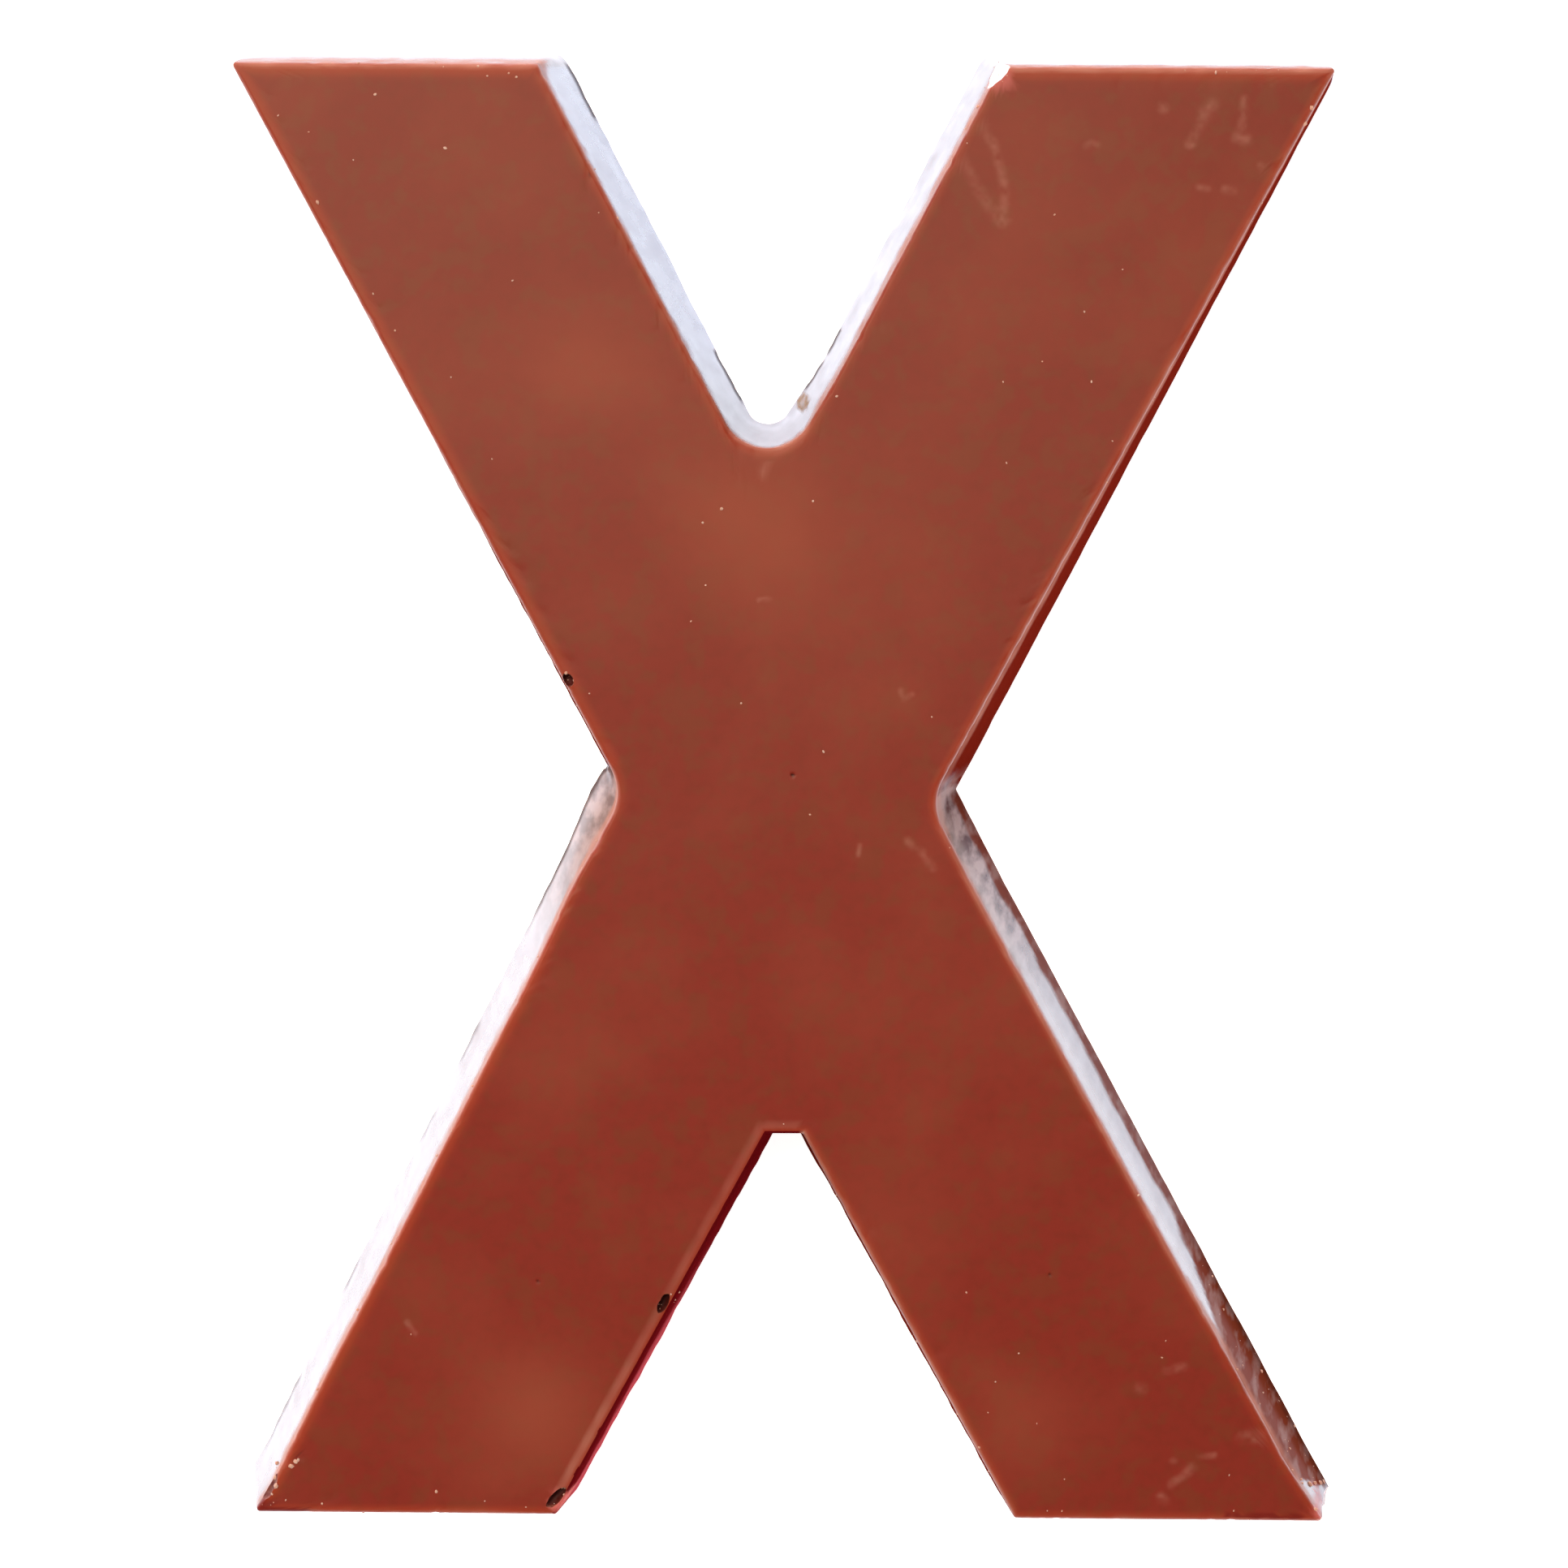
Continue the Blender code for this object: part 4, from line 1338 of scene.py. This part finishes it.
crumbly = add(crumbs, "GeometryNodeInputNamedAttribute", FLOAT, Name="crumbly")
density = add(crumbs, "ShaderNodeMath", TIMES, i0=crumbly, i1=given["Crumbs per Square Metre"])
strewn = add(crumbs, "GeometryNodeDistributePointsOnFaces", Mesh=base, Density=density, Seed=seed)
loose = add(crumbs, "GeometryNodeMeshToPoints", Mesh=base)
face_count = add(
    crumbs, "GeometryNodeAttributeDomainSize", {"component": "MESH"}, give="Face Count", Geometry=base
)
more_than = {"data_type": "INT", "operation": "GREATER_THAN"}
has_faces = add(crumbs, "FunctionNodeCompare", more_than, i2=face_count, i3=0)
points = add(
    crumbs, "GeometryNodeSwitch", {"input_type": "GEOMETRY"}, Switch=has_faces, i1=loose, i2=strewn
)
print("crumb tree so far:", len(crumbs.nodes), "nodes")

# %% [markdown]
# Each point gets a ball of twenty faces, most of them small, every one squashed and turned its own way.
# Once the balls are real mesh, noise pushes their corners about, so that they look broken off.

# %% Balls that become ragged crumbs
MOSTLY_SMALL = 2.5  # the power that makes small crumbs the most
SQUASH_LEAST, SQUASH_MOST = (0.7, 0.6, 0.4), (1.3, 1.0, 0.7)
LEAN = 0.4  # radians
RAGGED_SIZE = 0.12  # mm

lot = add(crumbs, "FunctionNodeRandomValue", FLOAT, give=1, Seed=seed)
lot = add(crumbs, "ShaderNodeMath", {"operation": "POWER"}, i0=lot, i1=MOSTLY_SMALL)
sizes = {"To_Min": given["Smallest Radius"], "To_Max": given["Largest Radius"]}
radius = add(crumbs, "ShaderNodeMapRange", Value=lot, **sizes)
squash = add(
    crumbs, "FunctionNodeRandomValue", RANDOM_VECTOR, i0=SQUASH_LEAST, i1=SQUASH_MOST, Seed=seed
)
scale = add(crumbs, "ShaderNodeVectorMath", {"operation": "SCALE"}, i0=squash, Scale=radius)
turns_from, turns_to = (-LEAN, -LEAN, 0), (LEAN, LEAN, 2 * math.pi)
turn = add(crumbs, "FunctionNodeRandomValue", RANDOM_VECTOR, i0=turns_from, i1=turns_to, Seed=seed)
ball = add(crumbs, "GeometryNodeMeshIcoSphere", Radius=1.0, Subdivisions=1)
placed = add(
    crumbs, "GeometryNodeInstanceOnPoints", Points=points, Instance=ball, Rotation=turn, Scale=scale
)
real = add(crumbs, "GeometryNodeRealizeInstances", Geometry=placed)
ragged = add(crumbs, "ShaderNodeTexNoise", give="Color", Scale=1 / (RAGGED_SIZE * MM))
ragged = add(crumbs, "ShaderNodeVectorMath", {"operation": "SUBTRACT"}, i0=ragged, i1=(0.5, 0.5, 0.5))
ragged = add(crumbs, "ShaderNodeVectorMath", {"operation": "SCALE"}, i0=ragged, Scale=given["Raggedness"])
real = add(crumbs, "GeometryNodeSetPosition", Geometry=real, Offset=ragged)
made = add(crumbs, "GeometryNodeSetMaterial", Geometry=real, Material=given["Chocolate"])
crumbs.links.new(made, crumbs.nodes.new("NodeGroupOutput").inputs["Geometry"])
print("crumb tree:", len(crumbs.nodes), "nodes")

# %% [markdown]
# ## Where the crumbs cling
#
# Fine crumbs lie wherever the chocolate rubs or has broken, and chance can strew those. A few specks
# catch the eye, and they are set down one by one, at places in the letter's own millimetres.

# %% Where the specks lie
# places in mm from the middle of the face, in lots of like size: name: (largest radius, places)
SPECKS = {
    "bright_specks": (0.17, [
        (-32.1, 56.7), (-26.6, 52.5), (-36.8, 48.3), (-4.9, 24.0), (4.3, 32.9), (3.2, 4.5), (-21.5, 58.3),
        (-20.9, 58.0), (-28.9, -57.0), (-38.4, -58.1), (30.8, -45.4), (-35.3, -41.9),
    ]),
    "faint_specks": (0.12, [
        (-39.8, 55.1), (-37.4, 53.8), (-33.9, 51.6), (-14.5, 47.4), (-15.6, 9.2), (2.4, 24.6), (21.5, 47.1),
        (-30.8, 38.2), (-21.4, 42.1), (-32.5, 41.1), (-26.4, 34.5), (-23.2, 28.0), (26.9, 42.8), (17.5, 34.0),
        (24.5, 34.0), (20.6, 35.6), (23.9, 39.5), (26.2, 29.3), (17.8, 27.6), (2.1, -0.6), (11.9, 7.3),
        (-6.4, 22.9), (-6.2, 17.9), (-3.4, 8.4), (-7.4, 15.0), (14.6, 52.7), (31.1, -44.0), (14.8, -40.0),
        (19.1, -45.1), (17.2, -47.5), (20.6, -51.0), (22.9, -55.7), (16.6, -50.1), (36.4, -55.3),
        (-30.8, -43.7), (-41.4, -57.8), (-24.9, -57.8), (-21.5, -58.3), (21.5, -58.4), (22.7, -58.4),
        (36.8, -58.3), (-23.2, 58.1), (-0.1, -26.0),
    ]),
    "corner_flakes": (0.30, [
        (-40.3, -54.4), (-40.5, -54.5), (-40.9, -54.9), (-42.4, -55.3), (-42.3, -56.0), (-42.2, -56.6),
        (43.4, -57.1), (44.0, -57.6), (44.7, -58.2), (45.2, -58.6), (43.5, -58.2), (41.1, 54.1),
        (41.6, 55.3),
    ]),
}
SMALLEST_SPECK = 0.7  # of the largest in its lot
print("specks:", {name: len(places) for name, (_, places) in SPECKS.items()})


# %% [markdown]
# The fine crumbs are strewn over a copy of the letter's own mesh, thickly where it is crumbly: along
# the ridges, round the chips and on the scraped side of the right leg.

# %% Strew the crumbs
CRUMBS_PER_SQUARE_METRE = 0.8e6
SMALLEST_CRUMB, LARGEST_CRUMB = 0.05, 0.17  # mm, radius
STREWN_SEED = 3
CRUMBLY_RIDGE, CRUMBLY_WALL = 0.30, 0.2  # against 1 beside a chip
NEAR_CHIP = (0.9, 0.1)  # mm from the chip's lump
# mm above the back, between which the ridge, the wall and all of it begin to be crumbly
RIDGE_FADES, WALL_FADES, ALL_FADES = (8.8, 9.4), (9.3, 8.9), (0.3, 1.0)
RAGGEDNESS = 0.6  # of the smallest radius


def crumbled(name, base, per_square_metre, smallest, largest, seed):
    """The mesh object that the crumb tree makes of base, with sizes in millimetres."""
    tree_on_it = base.modifiers.new("crumbs", "NODES")
    tree_on_it.node_group = crumbs
    ragged_by = RAGGEDNESS * smallest * MM
    values = (per_square_metre, smallest * MM, largest * MM, ragged_by, seed, crumb_skin)
    for identifier, value in zip(crumb_input_ids.values(), values):
        tree_on_it[identifier] = value
    mesh = bpy.data.meshes.new_from_object(base.evaluated_get(bpy.context.evaluated_depsgraph_get()))
    base.modifiers.clear()
    bpy.data.objects.remove(base)
    piece = bpy.data.objects.new(name, mesh)
    bpy.context.scene.collection.objects.link(piece)
    print(name + ":", len(mesh.polygons) // 20, "crumbs")
    return piece


near_chip = np.zeros(len(co))
for place, half_lengths, _ in CHIPS.values():
    off = np.linalg.norm(co - place - (0, 0, THICKNESS), axis=1) - max(half_lengths[:2])
    near_chip = np.maximum(near_chip, fade(off, *NEAR_CHIP))
scraped_wall = right_leg_low * fade(height, *WALL_FADES)
crumbly_here = CRUMBLY_RIDGE * ridge * fade(height, *RIDGE_FADES) + near_chip + CRUMBLY_WALL * scraped_wall
keep("crumbly", np.clip(crumbly_here, 0, 1) * fade(height, *ALL_FADES))
strewn_base = bpy.data.objects.new("strewn_base", letter.data.copy())
bpy.context.scene.collection.objects.link(strewn_base)
sizes = (SMALLEST_CRUMB, LARGEST_CRUMB)
pieces = [crumbled("strewn_crumbs", strewn_base, CRUMBS_PER_SQUARE_METRE, *sizes, STREWN_SEED)]

# %% [markdown]
# The face isn't quite level, so a ray dropped from above each speck finds the height it lies at.

# %% Set the specks down
surface = BVHTree.FromPolygons(co.tolist(), [tuple(f.vertices) for f in letter.data.polygons])
for seed, (name, (largest, places)) in enumerate(SPECKS.items()):
    above = [Vector((*spot, 2 * THICKNESS)) for spot in places]
    met = [surface.ray_cast(start, Vector((0, 0, -1)))[0] for start in above]
    spots = [tuple(spot) for spot in met if spot]
    speck_base = mesh_object(name + "_base", spots, [])
    pieces.append(crumbled(name, speck_base, 0.0, SMALLEST_SPECK * largest, largest, seed))

# %% [markdown]
# ## Floor and light
#
# The letter lies on a white table under a soft light from beyond its top, a little to the left. A
# polished wall mirrors the table beside it, and on a photographer's table that is a bright card. So
# there are two tables: a **glowing one** lights the walls and the back and the camera doesn't see it,
# and a plain white one just above it is all that the camera sees of the floor.

# %% Stage
LIGHTS = {
    # name: place in metres from the letter's middle, width and height in metres, watts, colour
    "window_softbox": ((-0.45, 0.85, 1.15), (1.10, 1.10), 28.0, "#FFFDF4"),
    "low_fill_card": ((0.55, -1.00, 0.14), (0.30, 0.30), 9.0, "#FFF6EE"),
    "overhead_panel": ((-0.50, 0.45, 1.20), (1.40, 1.06), 8.0, "#FFEFC4"),
}
SKY_WHITE = "#E9ECFF"
SKY_BRIGHT, SKY_DIM = 0.35, 0.03
SKY_FROM = (-0.5, 0.8, 0.3)
TABLE_HALF = 5.0  # metres
LIT_TABLE_LEVEL = -0.0002  # metres
SEEN_GLOW, LIT_GLOW = 0.85, 1.42
SEEN_TABLE_MISSED_BY = ("diffuse", "glossy", "transmission", "volume_scatter", "shadow")  # rays


def card(name, code, glow):
    """A matt card that may glow a little of itself."""
    plain = {"Base Color": linear(code), "Roughness": 0.9, "Specular IOR Level": 0.0}
    material = bpy.data.materials.new(name)
    start_material(material, plain | {"Emission Color": linear(code), "Emission Strength": glow})
    return material


def table(name, level, material):
    mesh = bpy.data.meshes.new(name)
    square = [(x * TABLE_HALF, y * TABLE_HALF, level) for x, y in ((-1, -1), (1, -1), (1, 1), (-1, 1))]
    mesh.from_pydata(square, [], [(0, 1, 2, 3)])
    mesh.materials.append(material)
    made = bpy.data.objects.new(name, mesh)
    bpy.context.scene.collection.objects.link(made)
    return made


seen_table = table("white_table", 0.0, card("white_card", "#FFFFFF", SEEN_GLOW))
lit_table = table("table_under_the_letter", LIT_TABLE_LEVEL, card("lit_card", "#E5EEFF", LIT_GLOW))
lit_table.visible_camera = False
lit_table.visible_shadow = False
for rays in SEEN_TABLE_MISSED_BY:
    setattr(seen_table, "visible_" + rays, False)
print("tables:", seen_table.name, lit_table.name)

# %% [markdown]
# A large lamp stands for the window beyond the letter's top, a small low one for a card that throws
# some light back from the foot, and a panel hangs level above. A sun lamp would give hard shadows, and
# the picture has none.

# %% Lamps
for name, (place, size, watts, code) in LIGHTS.items():
    lamp = bpy.data.lights.new(name, "AREA")
    lamp.shape = "RECTANGLE"
    lamp.size, lamp.size_y = size
    lamp.energy = watts
    lamp.color = linear(code)[:3]
    light = bpy.data.objects.new(name, lamp)
    light.location = place
    if name != "overhead_panel":  # the panel hangs level, the others are aimed at the letter
        light.rotation_euler = Vector(place).to_track_quat("Z", "Y").to_euler()
    light.visible_glossy = name != "window_softbox"  # the rolled edge shows no mirror image of it
    bpy.context.scene.collection.objects.link(light)
print("lights:", ", ".join(LIGHTS))

# %% [markdown]
# The room gives some light from everywhere, and more from the window's side. An HDR photograph of a
# room would do that, and so does a sky whose brightness follows one direction.

# %% A sky that is brighter behind the letter's top
sky = bpy.data.worlds.new("studio_sky")
sky.use_nodes = True
bpy.context.scene.world = sky
background = sky.node_tree.nodes["Background"]
towards = add(sky.node_tree, "ShaderNodeTexCoord", give="Generated")
sky_side = {"i0": towards, "i1": Vector(SKY_FROM).normalized()}
facing = add(sky.node_tree, "ShaderNodeVectorMath", {"operation": "DOT_PRODUCT"}, give="Value", **sky_side)
glows = {"From_Min": -0.3, "From_Max": 0.7, "To_Min": SKY_DIM, "To_Max": SKY_BRIGHT}
bright = add(sky.node_tree, "ShaderNodeMapRange", Value=facing, **glows)
background.inputs["Color"].default_value = linear(SKY_WHITE)
sky.node_tree.links.new(bright, background.inputs["Strength"])
bpy.context.scene.view_settings.view_transform = "Standard"
print("sky:", SKY_DIM, "to", SKY_BRIGHT)

# %% [markdown]
# ## Camera
#
# The picture is taken from 30 cm above the upper notch, a little to its right, with the camera leaning
# 7 degrees back towards the feet. So the walls of the upper notch and of the legs' outer sides show
# well, the left arm's outer side hardly shows, and the feet's ends not at all.

# %% Camera above the letter
CAMERA_PLACE = (7.87, 38.42, 297.66)  # mm from the middle of the face
TILT, ROLL = math.radians(7.0), math.radians(-1.5)
LENS = 85.58  # mm, on a sensor 36 mm wide

camera = bpy.data.objects.new("camera", bpy.data.cameras.new("camera"))
bpy.context.scene.collection.objects.link(camera)
camera.data.lens = LENS
camera.data.sensor_width = 36.0
camera.data.clip_start = 0.01
turned = (Matrix.Rotation(ROLL, 3, "Y") @ Matrix.Rotation(TILT, 3, "X")).transposed()
camera.matrix_world = Matrix.Translation(
    (Vector(CAMERA_PLACE) - Vector((*middle, -THICKNESS))) * MM
) @ turned.to_4x4()
bpy.context.scene.camera = camera
print("camera axes:", [[round(v, 4) for v in row] for row in turned])

# %% [markdown]
# ## Hand over
#
# The letter and its crumbs ride on the one body and take the place of the measured model's node, which
# is hidden.

# %% Hand over to the frame
for piece in [letter, *pieces]:
    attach(piece, "root")
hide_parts("letter")
